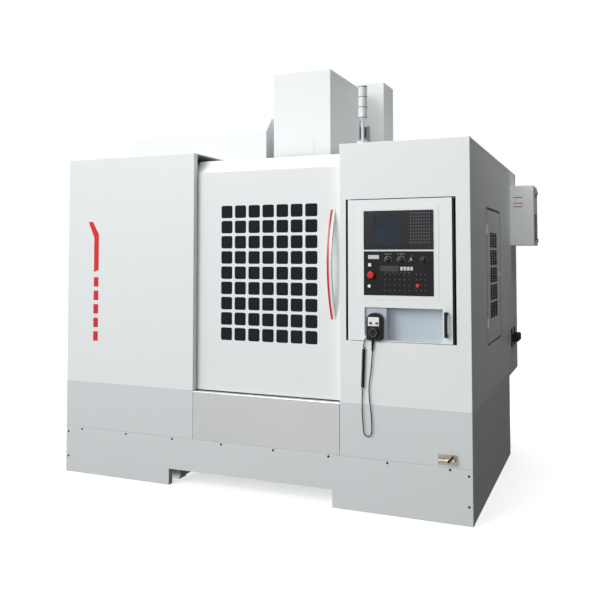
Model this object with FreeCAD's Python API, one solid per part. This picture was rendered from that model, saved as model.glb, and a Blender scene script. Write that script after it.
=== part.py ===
"""Vertical machining center: guarded C-frame mill with a swing-out operator console.

Millimetres. Shapes are drawn in machine coordinates: X = 0 at the left side of the guard,
Y = 0 on its front face with +Y to the back, Z = 0 on the floor. Each sub-part is then moved
so that the row's origin is the centre of the footprint, on the floor.
"""
import FreeCAD, Part
import math
import os

V = FreeCAD.Vector
X_AXIS = V(1, 0, 0)
Y_AXIS = V(0, 1, 0)
Z_AXIS = V(0, 0, 1)

# ---------------------------------------------------------------- driving dimensions
# Guard outline
WIDTH = 2700.0
HEIGHT = 2089.0
SIDE_DEPTH = 1580.0
DEPTH = 2086.0
SKIRT_TOP = 301.0
WAIST = 599.0
SHEET = 2.0
FRONT_FOLD = 40.0
SIDE_FOLD = 25.0
BEND = 4.0
SKIRT_LIFT = 3.0
COOLER_REACH = 180.0
FRONT_REACH = 45.0
REAR_REACH = 16.0
X_MID = (WIDTH + COOLER_REACH) / 2
Y_MID = (DEPTH + REAR_REACH - FRONT_REACH) / 2

# Clearances
SLIDE_GAP = 0.3
FIT_GAP = 0.05
WALL_GAP = 6.0

# Skirt
SKIRT_OPENING_X = (809.0, 1902.0)
SKIRT_OPENING_HEIGHT = 104.0
SCREW_FIRST_X = 132.5
SCREW_PITCH = 349.3
SCREW_COUNT = 8
SCREW_DROP = 11.0
END_SCREW_INSET = 22.0
END_SCREW_Z = (266.0, 105.0)
SCREW_R = 6.5
SCREW_HEAD = 3.0
SCREW_DOME = 2.1
SCREW_LENGTH = 8.0
SCREW_SOCKET = (2.925, 1.5)
TOUCH = 0.01

# Sliding door
DOOR_LEFT = 979.0
DOOR_RIGHT = 1950.0
DOOR_RECESS = 48.0
DOOR_BOTTOM = 604.0
DOOR_OVERLAP = 40.0
DOOR_BEVEL_Z = HEIGHT - 123.0
DOOR_BEVEL_Y = 140.0
DOOR_TOP = HEIGHT - 38.0
DOOR_ROOF_BACK = 450.0
DOOR_FOLD = 28.0
DOOR_FOLD_GAP = 6.0
MITRE = 0.4
GRID_LEFT = 1149.5
GRID_BOTTOM = 918.0
GRID_HOLE = 78.0
GRID_PITCH = 94.5
GRID_COLUMNS = 7
GRID_ROWS = 9
GRID_CORNER = 12.0
GLASS = 8.0
GLASS_MARGIN = 35.0
HANDLE_X = 1894.0
HANDLE_Z = (1069.0, 1711.0)
HANDLE_STANDOFF = 73.0
HANDLE_WIDTH = 28.0
HANDLE_THICK = 16.0
HANDLE_FOOT = (4.0, 38.4)
RAIL_HEIGHT = 34.0
RAIL_THICK = 12.0
RAIL_Y = 92.0
RAIL_BRACKET = (25.0, 30.0)
RAIL_INSET = (2.0, 30.0)
SHOE_INSET = 100.0
SHOE_HALF = 45.0
SHOE_WRAP = 8.0
SHOE_GAP = 6.0

# Bed, feet and anchor holes
CENTRE_X = 1464.0
BED_HALF = 550.0
BED_FRONT = 330.0
BED_BACK = 1900.0
BED_BOTTOM = 60.0
BED_STEP = 420.0
BED_TOP = 560.0
BED_WALL = 45.0
BED_CORES = (4, 5)
GUIDE_HALF = 400.0
CHANNEL_HALF = 190.0
CHANNEL_DEPTH = 110.0
LUG = (60.0, 180.0, 55.0)
LUG_Y = (430.0, 1100.0, 1780.0)
LUG_BORE_OFFSET = 40.0
STUD_R = 14.0
STUD_CLEAR = 0.5
STUD_TOP = 160.0
ANCHOR_R = 11.0
PAD_R = 50.0
PAD_HEIGHT = 24.0
PAD_TOP_R = 35.0
NUT_R = 24.0
NUT_HEIGHT = 22.0

# Linear axes
SPINDLE_Y = 780.0
GUIDE_W = 35.0
GUIDE_H = 30.0
RAIL_END_FRONT = 10.0
RAIL_END_BACK = 20.0
CARRIAGE_FOOT = 9.0
Y_GUIDE_HALF = 300.0
SADDLE_HALF_X = 740.0
SADDLE_HALF_Y = 240.0
SADDLE_HEIGHT = 130.0
TROUGH_HALF = 62.0
X_GUIDE_HALF = 170.0
CARRIAGE_LENGTH = 120.0
CARRIAGE_HEIGHT = 42.0
CARRIAGE_W = 90.0
CARRIAGE_OFFSET = 170.0
TABLE_HALF_X = 600.0
TABLE_HALF_Y = 260.0
TABLE_THICK = 80.0
SLOT_COUNT = 5
SLOT_PITCH = 100.0
SLOT_W = 18.0
SLOT_NECK = 14.0
SLOT_HEAD_W = 32.0
SLOT_HEAD_H = 14.0
SCREW_LINE_R = 18.0
JOURNAL_R = 12.0
NUT_BLOCK = 55.0
NUT_HALF = 44.0
NUT_BELOW = 38.5
X_NUT_BELOW = 30.25
X_SCREW_DROP = 34.0
TROUGH_FLOOR = 36.0
BEARING_FOOT = 20.0
JOURNAL_TAIL = 47.0
JOURNAL_END_GAP = 2.0
MOTOR_SIDE = 130.0
MOTOR_LENGTH = 150.0
MOTOR_CORNER_R = 12.0
MOTOR_CAP = (46.8, 37.5)
BEARING_BLOCK = 40.0

# Column
COLUMN_HALF = 350.0
COLUMN_FRONT = 1370.0
COLUMN_BASE_BACK = 1880.0
COLUMN_KNEE_Z = 950.0
COLUMN_TOP_BACK = 1600.0
COLUMN_SLIM_Z = 2060.0
JOURNAL_FLOOR = 5.0
COLUMN_TOP = 2440.0
COLUMN_SLOT_HALF = 90.0
COLUMN_SLOT_DEPTH = 130.0
COLUMN_WALL = 45.0
Z_GUIDE_HALF = 200.0
Z_GUIDE_BOTTOM = 1080.0
Z_SCREW_Y = 1435.0

# Spindle head
NOSE_Z = 1562.0
HEAD_BOTTOM = 1700.0
HEAD_BODY_TOP = 2050.0
HEAD_FLANGE = 12.0
HEAD_HALF = 150.0
HEAD_FRONT = 640.0
HEAD_PLATE_Z = (1680.0, 2330.0)
HEAD_PLATE_HALF = 235.0
HEAD_PLATE_THICK = 45.0
Z_CARRIAGE_HALF = 33.0
NOSE_R = 80.0
NOSE_STEP = 6.0
SPINDLE_R = 45.0
TAPER_R = 22.225
TAPER_DEPTH = 65.4
TAPER_SMALL_R = 12.7
DRAWBAR_R = 9.0
DRIVE_KEY = (16.0, 9.0, 5.0)
SPINDLE_MOTOR_HALF = 105.0
SPINDLE_MOTOR_HEIGHT = 470.0
MOTOR_EDGE_R = 24.0
FAN = (84.0, 60.0)
TAIL_BORE = 60.0
TAIL_LENGTH = 50.0
SHAFT_END_GAP = 2.0
KEY_MARGIN = 2.0
DRAWBAR_DEPTH = 261.6
COVER_X = (1254.0, 1673.0)
COVER_Y = (600.0, 1226.0)
COVER_TOP = HEIGHT + 611.0
COVER_PLATE = (182.0, 210.0, 3.0)
COVER_PLATE_TOP = HEIGHT + 142.0
COLUMN_COVER_X = (1105.0, 1823.0)
COLUMN_COVER_Y = (1360.0, 1625.0)
COLUMN_COVER_TOP = HEIGHT + 670.0
COLUMN_COVER_WINDOW = (1215.0, 1713.0, HEIGHT + 341.0)

# Tool magazine and changer
MAG_COVER_X = (113.0, 1197.0)
MAG_COVER_Y = (600.0, 1200.0)
MAG_COVER_TOP = HEIGHT + 321.0
MAG_COVER_BEVEL = (90.0, 103.0)
DISC_X = 655.0
DISC_Z = 1970.0
DISC_Y = 1040.0
DISC_THICK = 24.0
DISC_R = 375.0
POT_COUNT = 24
POT_RING = 335.0
POT_R = 34.0
POT_CAP = (26.0, 6.0)
POT_LENGTH = 80.0
DISC_SHAFT_R = 30.0
BRACKET_Y = (1085.0, 1120.0)
BRACKET_HALF = 110.0
BOSS_R = 70.0
BOSS_GAP = 4.0
BOSS_TAIL = 30.0
DISC_SHAFT_LENGTH = 80.0
GEARBOX_ROOF = 40.0
ARM_X = 1134.0
ARM_REACH = 330.0
ARM_TOP = 1550.0
ARM_THICK = 32.0
ARM_WIDTH = 84.0
ARM_STROKE = 110.0
GRIP_R = 32.0
ARM_SHAFT_R = 28.0
ARM_NECK_R = 20.0
ARM_NECK_DROP = 16.0
ARM_NECK_RISE = 2.0
COLLAR = 20.0
SHAFT_HEADROOM = 60.0
ARM_BAR_HALF = 28.0
HUB_R = 50.0
GRIP_HEAD_R = 46.0
GEARBOX = (70.0, 110.0, 420.0)
GEARBOX_BOTTOM = 1600.0
BEAM_X = (1118.0, 1208.0)
BEAM_Z = (1720.0, 1900.0)

# Inner guard
TRAY_Z = BED_STEP
TRAY_LIP = WAIST
TRAY_FRONT = 112.0
TRAY_BACK = 1345.0
TRAY_WELL_X = (1056.0, 1872.0)
TRAY_WELL_FRONT = 140.0
REAR_GAP_X = (1219.0, 1709.0)
REAR_WALL_TOP = HEIGHT - 29.0
MIST_SHEET = 3.0

# Roof openings
ROOF_DOOR_BACK = 440.0
ROOF_HEAD_X = (1210.0, 1718.0)
ROOF_HEAD_FRONT = 545.0
ROOF_COLUMN_X = (1109.0, 1819.0)
ROOF_COLUMN_FRONT = 1356.0
ROOF_MAG_MARGIN = 22.0

# Electrical cabinet and cooler
CABINET_LEFT = 1900.0
CABINET_BOTTOM = 562.0
CABINET_WALL = 3.0
CABINET_LIP = 30.0
CABINET_DOOR_GAP = 2.5
CABINET_PIVOT_IN = 1.25
PIVOT_FOOT = 8.0
LOCK_PLATE = (70.0, 40.0, 6.0, 75.0)
LOCK_LEVER = (64.0, 46.0, 5.0, 60.0)
DRIVE_ROW = (4, 90.0, 110.0, 90.0, 230.0, (1500.0, 1860.0))
RELAY_ROW = (6, 90.0, 75.0, 55.0, 90.0, (1220.0, 1310.0))
RACK = ((540.0, 740.0), 150.0, (1540.0, 1800.0))
WIRE_DUCT = ((90.0, 640.0), 45.0, (1400.0, 1440.0))
TRANSFORMER = ((120.0, 380.0), 200.0, (720.0, 960.0))
BACKPLATE_INSET = 40.0
BACKPLATE_Z = (660.0, 2000.0)
BACKPLATE_Y = 1610.0
COOLER_Y = (1740.0, 2040.0)
COOLER_Z = (1518.0, 1970.0)
COOLER_BEND = 5.0
COOLER_KNOB = (16.0, 12.0, 70.0)
COOLER_KNOB_OUT = 10.0
COOLER_LATCH = (9.0, 14.0, 6.0)
COOLER_LATCH_INSET = (18.0, 40.0)
GRILLE_DEPTH = 14.0
GRILLE_MARGIN = 35.0
GRILLE_OPEN = 0.55
GRILLE_Z = (1560.0, 1760.0)
GRILLE_BARS = 12

# Side access door
ACCESS_Y = (560.0, 1150.0)
ACCESS_Z = (890.0, 1740.0)
ACCESS_SIDE_GAP = 2.5
ACCESS_END_GAP = 8.0
LOUVRE_Y = (702.0, 802.0, 902.0)
LOUVRE_WIDTH = 74.0
LOUVRE_Z = (1050.0, 1160.0, 1270.0, 1380.0, 1490.0)
LOUVRE_SLOTS = 6
LOUVRE_SLOT = 7.0
LOUVRE_PITCH = 16.0
LATCH_R = 14.0
LATCH_INSET = 45.0
LATCH_OUT = 5.0
LATCH_CAM = (3.5, 8.0, 30.0)
KNUCKLE_R = 5.0
KNUCKLE_LENGTH = 60.0
PIN_R = 2.5
LEAF = (26.0, 1.5)
LEAF_START = 1.5
KNUCKLE_INSET = 110.0
PIN_SHORT = 2.0
COLUMN_GAP = 10.0
ACCESS_DOOR_GAP = 3.0

# Console
OPENING_X = (1989.0, 2621.0)
OPENING_Z = (957.0, 1764.0)
CONSOLE_X = (2002.0, 2600.0)
CONSOLE_Z = (960.0, 1759.0)
CONSOLE_DEPTH = 150.0
PIVOT = (2010.0, 10.0)
PIVOT_R = 6.0
PIVOT_BOSS_R = 9.0
PIVOT_DEPTH = 18.0
PIVOT_BOSS_MARGIN = 6.0
PIVOT_WALL = 2.0
FIELD_X = (2071.0, 2526.0)
FIELD_Z = (1195.0, 1714.0)
FIELD_RAISE = 2.0
DISPLAY_X = (2098.0, 2498.0)
DISPLAY_Z = (1475.0, 1694.0)
BEZEL = 6.0
LCD_X = (2160.0, 2309.0)
LCD_Z = (1512.0, 1668.0)
LCD_RECESS = 2.0
BODY_INSET = 10.0
BODY_DEPTH = 60.0
PANEL_Z = (1218.0, 1465.0)
PANEL_PLATE = 3.0
POCKET_X = (2100.0, 2545.0)
POCKET_Z = (965.0, 1149.0)
POCKET_DEPTH = 85.0
SHELF_X = 2222.0
SHELF_Y = 15.0
KNOB_X = (2239.0, 2315.0, 2443.0)
KEY_X = 2376.0
KNOB_Z = 1419.0
KNOB_R = 13.0
KNOB_LENGTH = 15.0
KNOB_SHAFT_R = 3.0
KNOB_EDGE = 0.12
KNOB_RIDGE = (0.18, 0.35, 0.85)
CONTROL_SHAFT = 17.0
CONTROL_BORE = 24.0
FACE_GAP = 0.5
KEY_BARREL = (7.8, 5.0)
KEY_BLADE = (1.2, 4.0, 12.0)
KEY_BOW = (11.0, 20.0)
ESTOP = (2145.0, 1332.0)
ESTOP_R = 20.0
ESTOP_STEM_R = 9.0
ESTOP_OUT = 26.0
ESTOP_CROWN = 13.0
ESTOP_DOME = 6.0
ESTOP_STEM = (14.0, 24.0)
ESTOP_COLLAR = (15.0, 6.0)
ESTOP_BORE_FRONT = 20.0
START = (2134.5, 1388.5)
HOLD = (2131.0, 1269.0)
BUTTON_HALF = 9.0
BUTTON_OUT = 6.0
BUTTON_IN = 14.0
GRIP_X = 2567.0
GRIP_Z = (998.0, 1134.0)
GRIP_OUT = 38.0
GRIP_SIDE = 16.0
GRIP_EDGE_R = 4.0

# Hand pendant and its cord
PENDANT_X = (2118.0, 2209.0)
PENDANT_Z = (966.0, 1118.0)
PENDANT_FRONT = -27.0
PENDANT_BACK = 15.0
PENDANT_HEAD_R = 38.0
PENDANT_FOOT_R = 16.0
PENDANT_EDGE_R = 4.0
PENDANT_BORE = 20.0
WHEEL = (2160.0, 1011.0)
WHEEL_R = 27.0
WHEEL_THICK = 13.0
WHEEL_PEG = (4.0, 6.0, 5.0, 17.82)
SELECT_X = (2144.0, 2180.0)
SELECT_Z = 1063.0
SELECT_R = 6.5
SELECT_LENGTH = 10.0
CORD_Y = -12.0
CORD_R = 3.0
COIL_R = 9.5
CORD_BEND_SHARE = 0.45
RELIEF_TOP = V(2152, CORD_Y, PENDANT_Z[0])
RELIEF_END = V(2149, CORD_Y, 905)
RELIEF_R = (8.5, 5.0)
RELIEF_SEAT = 0.05
COIL_BOTTOM = V(2089, CORD_Y, 671)
COIL_TOP = V(2099, CORD_Y, 942)
LOOP_POINTS = [(2146, 850), (2138, 776), (2126, 703), (2131, 627), (2140, 560), (2144, 490),
               (2143, 438), (2119, 424), (2095, 438), (2093, 490), (2087, 556)]
COIL_LEAD = 52.0
TAIL_LEAD = 15.0
CORD_END = V(2108, CORD_Y, 974)
GLAND_HALF = 6.0
GLAND_FRONT = 7.0
GLAND_HEIGHT = 16.0
GLAND_BORE = (3.0, 4.0)

# Air gun valve
VALVE_PLATE_X = (2512.0, 2619.0)
VALVE_PLATE_Z = (315.0, 370.0)
VALVE_PLATE = 3.0
VALVE_X = 2578.0
VALVE_Z = 342.0
VALVE_Y = -24.0
VALVE_R = 13.0
VALVE_STUB_R = 9.1
VALVE_BODY = 40.0
VALVE_NUT = (10.4, 60.0)
VALVE_COUPLER = (8.06, 30.0, 58.0)
VALVE_BONNET_R = 7.8
VALVE_STEM_BORE = (3.0, 12.0)
VALVE_SCREW = (4.0, 3.0)
VALVE_SCREW_INSET = (9.0, 8.0)
LEVER_ANGLE = 50.0
LEVER = (38.0, 5.5, 3.0)
LEVER_STEM = 11.0
LEVER_HUB_R = 7.0

# Signal tower
TOWER = (2078.0, 50.0)
TOWER_BASE_R = 35.0
TOWER_BASE_H = 16.0
TOWER_POLE_R = 9.0
TOWER_LAMP_Z = HEIGHT + 151.0
TOWER_LAMP_R = 25.0
TOWER_LAMP_H = 60.0
TOWER_LAMPS = 3
TOWER_CAP = 10.0
TOWER_RING = 4.0
TOWER_FOOT = 14.0
TOWER_EDGE_R = 4.0
TOWER_LENS = 3.0

# Coolant tank
TANK_X = (70.0, 820.0)
TANK_Y = (120.0, 1350.0)
TANK_Z = (20.0, 285.0)
TANK_WALL = 4.0
TANK_LID = 420.0
TANK_FOOT = (40.0, 60.0)
RIM_DROP = 20.0
PUMP_R = 60.0
PUMP_HEIGHT = 260.0
PIPE_R = 14.0


# ---------------------------------------------------------------- shape helpers
def box(xs, ys, zs):
    """Box between two X, two Y and two Z values."""
    size = (xs[1] - xs[0], ys[1] - ys[0], zs[1] - zs[0])
    return Part.makeBox(*size, V(xs[0], ys[0], zs[0]))


def rod(start, axis, radius, length):
    """Cylinder from a start point along an axis."""
    return Part.makeCylinder(radius, length, V(*start), axis)


def around(middle, half):
    """Low and high values either side of a middle."""
    return (middle - half, middle + half)


def profile(points, plane, start, length):
    """Prism of a polygon. Plane "yz" is extruded along X, "xy" along Z, "xz" along Y."""
    place = {"yz": lambda a, b: V(start, a, b),
             "xy": lambda a, b: V(a, b, start),
             "xz": lambda a, b: V(a, start, b)}[plane]
    along = {"yz": X_AXIS, "xy": Z_AXIS, "xz": Y_AXIS}[plane]
    ring = [place(a, b) for a, b in points]
    face = Part.Face(Part.makePolygon(ring + ring[:1]))
    return face.extrude(along * length)


def union(shapes):
    """One solid from touching shapes."""
    return shapes[0].multiFuse(shapes[1:]).removeSplitter()


def without(shape, cutters):
    """The shape less a list of cutters."""
    return shape.cut(Part.makeCompound(cutters))


def rounded(shape, edges, radius):
    """Fillet the edges that lie on given lines, named by a test of each edge."""
    found = [edge for edge in shape.Edges if edges(edge)]
    return shape.makeFillet(radius, found) if found else shape


def on_plane(edge, axis, value):
    """True where the whole edge lies on the plane axis = value."""
    low = getattr(edge.BoundBox, axis + "Min")
    high = getattr(edge.BoundBox, axis + "Max")
    return abs(low - value) < TOUCH and abs(high - value) < TOUCH


def front_pan(xs, ys, zs):
    """Sheet folded back on its four sides, open to the rear."""
    shell = box(xs, ys, zs)
    shell = rounded(shell, lambda e: on_plane(e, "Y", ys[0]), BEND)
    hollow = box((xs[0] + SHEET, xs[1] - SHEET), (ys[0] + SHEET, ys[1] + SHEET),
                 (zs[0] + SHEET, zs[1] - SHEET))
    return shell.cut(hollow)


def side_pan(xs, ys, zs, face):
    """Sheet folded inward on its four sides, with its face on X = face."""
    shell = rounded(box(xs, ys, zs), lambda e: on_plane(e, "X", face), BEND)
    inward = SHEET if face > xs[0] else -SHEET
    hollow = box((xs[0] - inward, xs[1] - inward), (ys[0] + SHEET, ys[1] - SHEET),
                 (zs[0] + SHEET, zs[1] - SHEET))
    return shell.cut(hollow)


def roof_pan(xs, ys, zs):
    """Sheet folded down on its four sides."""
    shell = rounded(box(xs, ys, zs), lambda e: on_plane(e, "Z", zs[1]), BEND)
    hollow = box((xs[0] + SHEET, xs[1] - SHEET), (ys[0] + SHEET, ys[1] - SHEET),
                 (zs[0] - SHEET, zs[1] - SHEET))
    return shell.cut(hollow)


def hood(xs, ys, zs, thick):
    """Box of sheet, open at the bottom."""
    hollow = box((xs[0] + thick, xs[1] - thick), (ys[0] + thick, ys[1] - thick),
                 (zs[0] - thick, zs[1] - thick))
    return box(xs, ys, zs).cut(hollow)


def sweep_path(points):
    """Straight runs joined by tangent arcs, each as large as its two runs allow."""
    edges, radii, last = [], [], points[0]
    for before, corner, after in zip(points, points[1:], points[2:]):
        back = before - corner
        ahead = after - corner
        turn = math.pi - back.getAngle(ahead)
        reach = CORD_BEND_SHARE * min(back.Length, ahead.Length)
        radii.append(reach / math.tan(turn / 2))
        enter = corner + back.normalize() * reach
        leave = corner + ahead.normalize() * reach
        bisector = (back + ahead).normalize()
        sagitta = radii[-1] / math.cos(turn / 2) - radii[-1]
        edges.append(Part.LineSegment(last, enter).toShape())
        edges.append(Part.Arc(enter, corner + bisector * sagitta, leave).toShape())
        last = leave
    edges.append(Part.LineSegment(last, points[-1]).toShape())
    return Part.Wire(edges), radii


def cord_run(points):
    """Round tube along a route of points."""
    path, radii = sweep_path(points)
    start = (points[1] - points[0]).normalize()
    ring = Part.Wire(Part.Circle(points[0], start, CORD_R).toShape())
    tube = path.makePipeShell([ring], True, False)
    share = tube.Volume / (math.pi * CORD_R ** 2 * path.Length)
    print("cord radii", [round(r) for r in radii], "volume share", round(share, 4))
    return tube


# ---------------------------------------------------------------- bed, feet, column
def lug_places():
    """Centre of each side lug of the bed."""
    for side in (-1, 1):
        for y in LUG_Y:
            yield CENTRE_X + side * (BED_HALF + LUG[0] / 2), y


def machine_bed():
    base = box(around(CENTRE_X, BED_HALF), (BED_FRONT, BED_BACK), (BED_BOTTOM, BED_STEP))
    guide = box(around(CENTRE_X, GUIDE_HALF), (BED_FRONT, BED_BACK), (BED_STEP, BED_TOP))
    lugs = [box(around(x, LUG[0] / 2), around(y, LUG[1] / 2), (BED_BOTTOM, BED_BOTTOM + LUG[2]))
            for x, y in lug_places()]
    bed = union([base, guide] + lugs)
    return without(bed, bed_pockets() + [bed_channel()] + lug_holes() + [y_journal_bore()])


def bed_pockets():
    """Cast cores open at the underside, with ribs between them."""
    columns, rows = BED_CORES
    pitch_x = (2 * BED_HALF - BED_WALL) / columns
    pitch_y = (BED_BACK - BED_FRONT - BED_WALL) / rows
    cores = []
    for i in range(columns):
        for j in range(rows):
            x = CENTRE_X - BED_HALF + BED_WALL + i * pitch_x
            y = BED_FRONT + BED_WALL + j * pitch_y
            cores.append(box((x, x + pitch_x - BED_WALL), (y, y + pitch_y - BED_WALL),
                             (BED_BOTTOM - 1, BED_STEP - BED_WALL)))
    return cores


def bed_channel():
    """Trough between the guides for the Y ball screw and its nut."""
    return box(around(CENTRE_X, CHANNEL_HALF), (BED_FRONT + BEARING_BLOCK, COLUMN_FRONT),
               (BED_TOP - CHANNEL_DEPTH, BED_TOP + 1))


def lug_holes():
    """A levelling stud hole and an anchor hole through each lug."""
    holes = []
    for x, y in lug_places():
        for offset, radius in ((-LUG_BORE_OFFSET, STUD_R + STUD_CLEAR), (LUG_BORE_OFFSET, ANCHOR_R)):
            holes.append(rod((x, y + offset, 0), Z_AXIS, radius, BED_STEP))
    return holes


def y_screw_z():
    return BED_TOP - CHANNEL_DEPTH / 2


def y_journal_bore():
    length = COLUMN_FRONT + BEARING_BLOCK - BED_FRONT
    return rod((CENTRE_X, BED_FRONT - 1, y_screw_z()), Y_AXIS, JOURNAL_R + FIT_GAP, length)


def hexagon(x, y, z, radius, height):
    """Upright hexagonal prism."""
    corners = [(x + radius * math.cos(i * math.pi / 3), y + radius * math.sin(i * math.pi / 3))
               for i in range(6)]
    return profile(corners, "xy", z, height)


def levelling_feet():
    feet = []
    for x, y in lug_places():
        y = y - LUG_BORE_OFFSET
        pad = Part.makeCone(PAD_R, PAD_TOP_R, PAD_HEIGHT, V(x, y, 0))
        stud = rod((x, y, PAD_HEIGHT), Z_AXIS, STUD_R, STUD_TOP - PAD_HEIGHT)
        lower = hexagon(x, y, BED_BOTTOM - NUT_HEIGHT, NUT_R, NUT_HEIGHT)
        upper = hexagon(x, y, BED_BOTTOM + LUG[2], NUT_R, NUT_HEIGHT)
        feet.append(union([pad, stud, lower, upper]))
    return Part.makeCompound(feet)


def column():
    side = [(COLUMN_FRONT, BED_TOP), (COLUMN_BASE_BACK, BED_TOP), (COLUMN_BASE_BACK, COLUMN_KNEE_Z),
            (COLUMN_TOP_BACK, COLUMN_SLIM_Z), (COLUMN_TOP_BACK, COLUMN_TOP), (COLUMN_FRONT, COLUMN_TOP)]
    body = profile(side, "yz", CENTRE_X - COLUMN_HALF, 2 * COLUMN_HALF)
    slot = box(around(CENTRE_X, COLUMN_SLOT_HALF), (COLUMN_FRONT - 1, COLUMN_FRONT + COLUMN_SLOT_DEPTH),
               (BED_TOP + BED_WALL, COLUMN_TOP - BEARING_BLOCK))
    bore = rod((CENTRE_X, Z_SCREW_Y, BED_TOP + JOURNAL_FLOOR), Z_AXIS, JOURNAL_R + FIT_GAP, COLUMN_TOP)
    return without(body, [slot, bore] + column_cores())


def column_cores():
    """Cast cores open at the foot: one each side of the screw's recess and one behind it."""
    wall = COLUMN_WALL
    foot, back = BED_TOP - 1, COLUMN_BASE_BACK - wall
    cores = []
    for side, front in ((-1, COLUMN_FRONT), (0, COLUMN_FRONT + COLUMN_SLOT_DEPTH), (1, COLUMN_FRONT)):
        outline = [(front + wall, foot), (back, foot), (back, COLUMN_KNEE_Z - wall / 2),
                   (COLUMN_TOP_BACK - wall, COLUMN_SLIM_Z - wall / 2),
                   (COLUMN_TOP_BACK - wall, COLUMN_TOP - wall), (front + wall, COLUMN_TOP - wall)]
        half = (COLUMN_HALF - COLUMN_SLOT_HALF - 2 * wall) / 2 if side else COLUMN_SLOT_HALF
        middle = CENTRE_X + side * (COLUMN_HALF - wall - half)
        cores.append(profile(outline, "yz", middle - half, 2 * half))
    return cores


def frame_drives():
    """Y and Z guide rails with the Y and Z servo motors."""
    parts = []
    for side in (-1, 1):
        x = CENTRE_X + side * Y_GUIDE_HALF
        parts.append(box(around(x, GUIDE_W / 2), (BED_FRONT + RAIL_END_FRONT, COLUMN_FRONT - RAIL_END_BACK),
                         (BED_TOP, BED_TOP + GUIDE_H)))
        x = CENTRE_X + side * Z_GUIDE_HALF
        parts.append(box(around(x, GUIDE_W / 2), (COLUMN_FRONT - GUIDE_H, COLUMN_FRONT),
                         (Z_GUIDE_BOTTOM, COLUMN_TOP - RAIL_END_BACK)))
    parts.append(servo_motor((CENTRE_X, BED_FRONT, y_screw_z()), -Y_AXIS))
    parts.append(servo_motor((CENTRE_X, Z_SCREW_Y, COLUMN_TOP), Z_AXIS))
    return Part.makeCompound(parts)


def servo_motor(mouth, axis):
    """Square servo motor standing on a mouth point, hollow where the screw's end enters."""
    half = MOTOR_SIDE / 2
    body = Part.makeBox(MOTOR_SIDE, MOTOR_SIDE, MOTOR_LENGTH, V(-half, -half, 0))
    body = rounded(body, lambda e: e.Vertexes[0].X == e.Vertexes[1].X
                   and e.Vertexes[0].Y == e.Vertexes[1].Y, MOTOR_CORNER_R)
    cap = Part.makeCylinder(*MOTOR_CAP, V(0, 0, MOTOR_LENGTH))
    body = body.fuse(cap).cut(Part.makeCylinder(JOURNAL_R + FIT_GAP, NUT_BLOCK, V(0, 0, -1)))
    body.Placement = FreeCAD.Placement(V(*mouth), FreeCAD.Rotation(Z_AXIS, axis))
    return body


# ---------------------------------------------------------------- saddle, table, screws
def saddle_bottom():
    return BED_TOP + CARRIAGE_HEIGHT


def saddle_top():
    return saddle_bottom() + SADDLE_HEIGHT


def carriage(x, y, base, along):
    """Guide carriage over a rail whose foot is at height base, running along X or Y."""
    half_l, half_w = CARRIAGE_LENGTH / 2, CARRIAGE_W / 2
    half_r = GUIDE_W / 2 + SLIDE_GAP
    low = base + CARRIAGE_FOOT
    high = base + CARRIAGE_HEIGHT
    top = base + GUIDE_H + SLIDE_GAP
    if along == "Y":
        block = box(around(x, half_w), around(y, half_l), (low, high))
        return block.cut(box(around(x, half_r), around(y, half_l + 1), (low - 1, top)))
    block = box(around(x, half_l), around(y, half_w), (low, high))
    return block.cut(box(around(x, half_l + 1), around(y, half_r), (low - 1, top)))


def saddle():
    deck = box(around(CENTRE_X, SADDLE_HALF_X), around(SPINDLE_Y, SADDLE_HALF_Y),
               (saddle_bottom(), saddle_top()))
    blocks = [carriage(CENTRE_X + i * Y_GUIDE_HALF, SPINDLE_Y + j * CARRIAGE_OFFSET, BED_TOP, "Y")
              for i in (-1, 1) for j in (-1, 1)]
    nut = box(around(CENTRE_X, NUT_HALF), around(SPINDLE_Y, NUT_BLOCK),
              (y_screw_z() - NUT_BELOW, saddle_bottom()))
    bearings = [box(xs, around(SPINDLE_Y, NUT_BLOCK), (x_screw_z() - BEARING_FOOT, saddle_top()))
                for xs in x_bearing_spans()]
    trough = box((CENTRE_X - SADDLE_HALF_X + BEARING_BLOCK, CENTRE_X + SADDLE_HALF_X - BEARING_BLOCK),
                 around(SPINDLE_Y, TROUGH_HALF), (x_screw_z() - TROUGH_FLOOR, saddle_top() + 1))
    body = union([deck] + blocks + [nut]).cut(trough)
    body = union([body] + bearings)
    journals = [rod((CENTRE_X, 0, y_screw_z()), Y_AXIS, SCREW_LINE_R + SLIDE_GAP, COLUMN_FRONT),
                rod((0, SPINDLE_Y, x_screw_z()), X_AXIS, JOURNAL_R + FIT_GAP, WIDTH)]
    return without(body, journals)


def x_screw_z():
    return saddle_top() - X_SCREW_DROP


def x_bearing_spans():
    """X ranges of the two end walls of the saddle that carry the X screw."""
    left, right = around(CENTRE_X, SADDLE_HALF_X)
    return ((left, left + BEARING_BLOCK), (right - BEARING_BLOCK, right))


def x_axis_drive():
    """X guide rails and the X servo motor, bolted to the saddle."""
    rails = [box(around(CENTRE_X, SADDLE_HALF_X), around(SPINDLE_Y + side * X_GUIDE_HALF, GUIDE_W / 2),
                 (saddle_top(), saddle_top() + GUIDE_H)) for side in (-1, 1)]
    motor = servo_motor((CENTRE_X + SADDLE_HALF_X, SPINDLE_Y, x_screw_z()), X_AXIS)
    return Part.makeCompound(rails + [motor])


def table_bottom():
    return saddle_top() + CARRIAGE_HEIGHT


def table_top():
    return table_bottom() + TABLE_THICK


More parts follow.
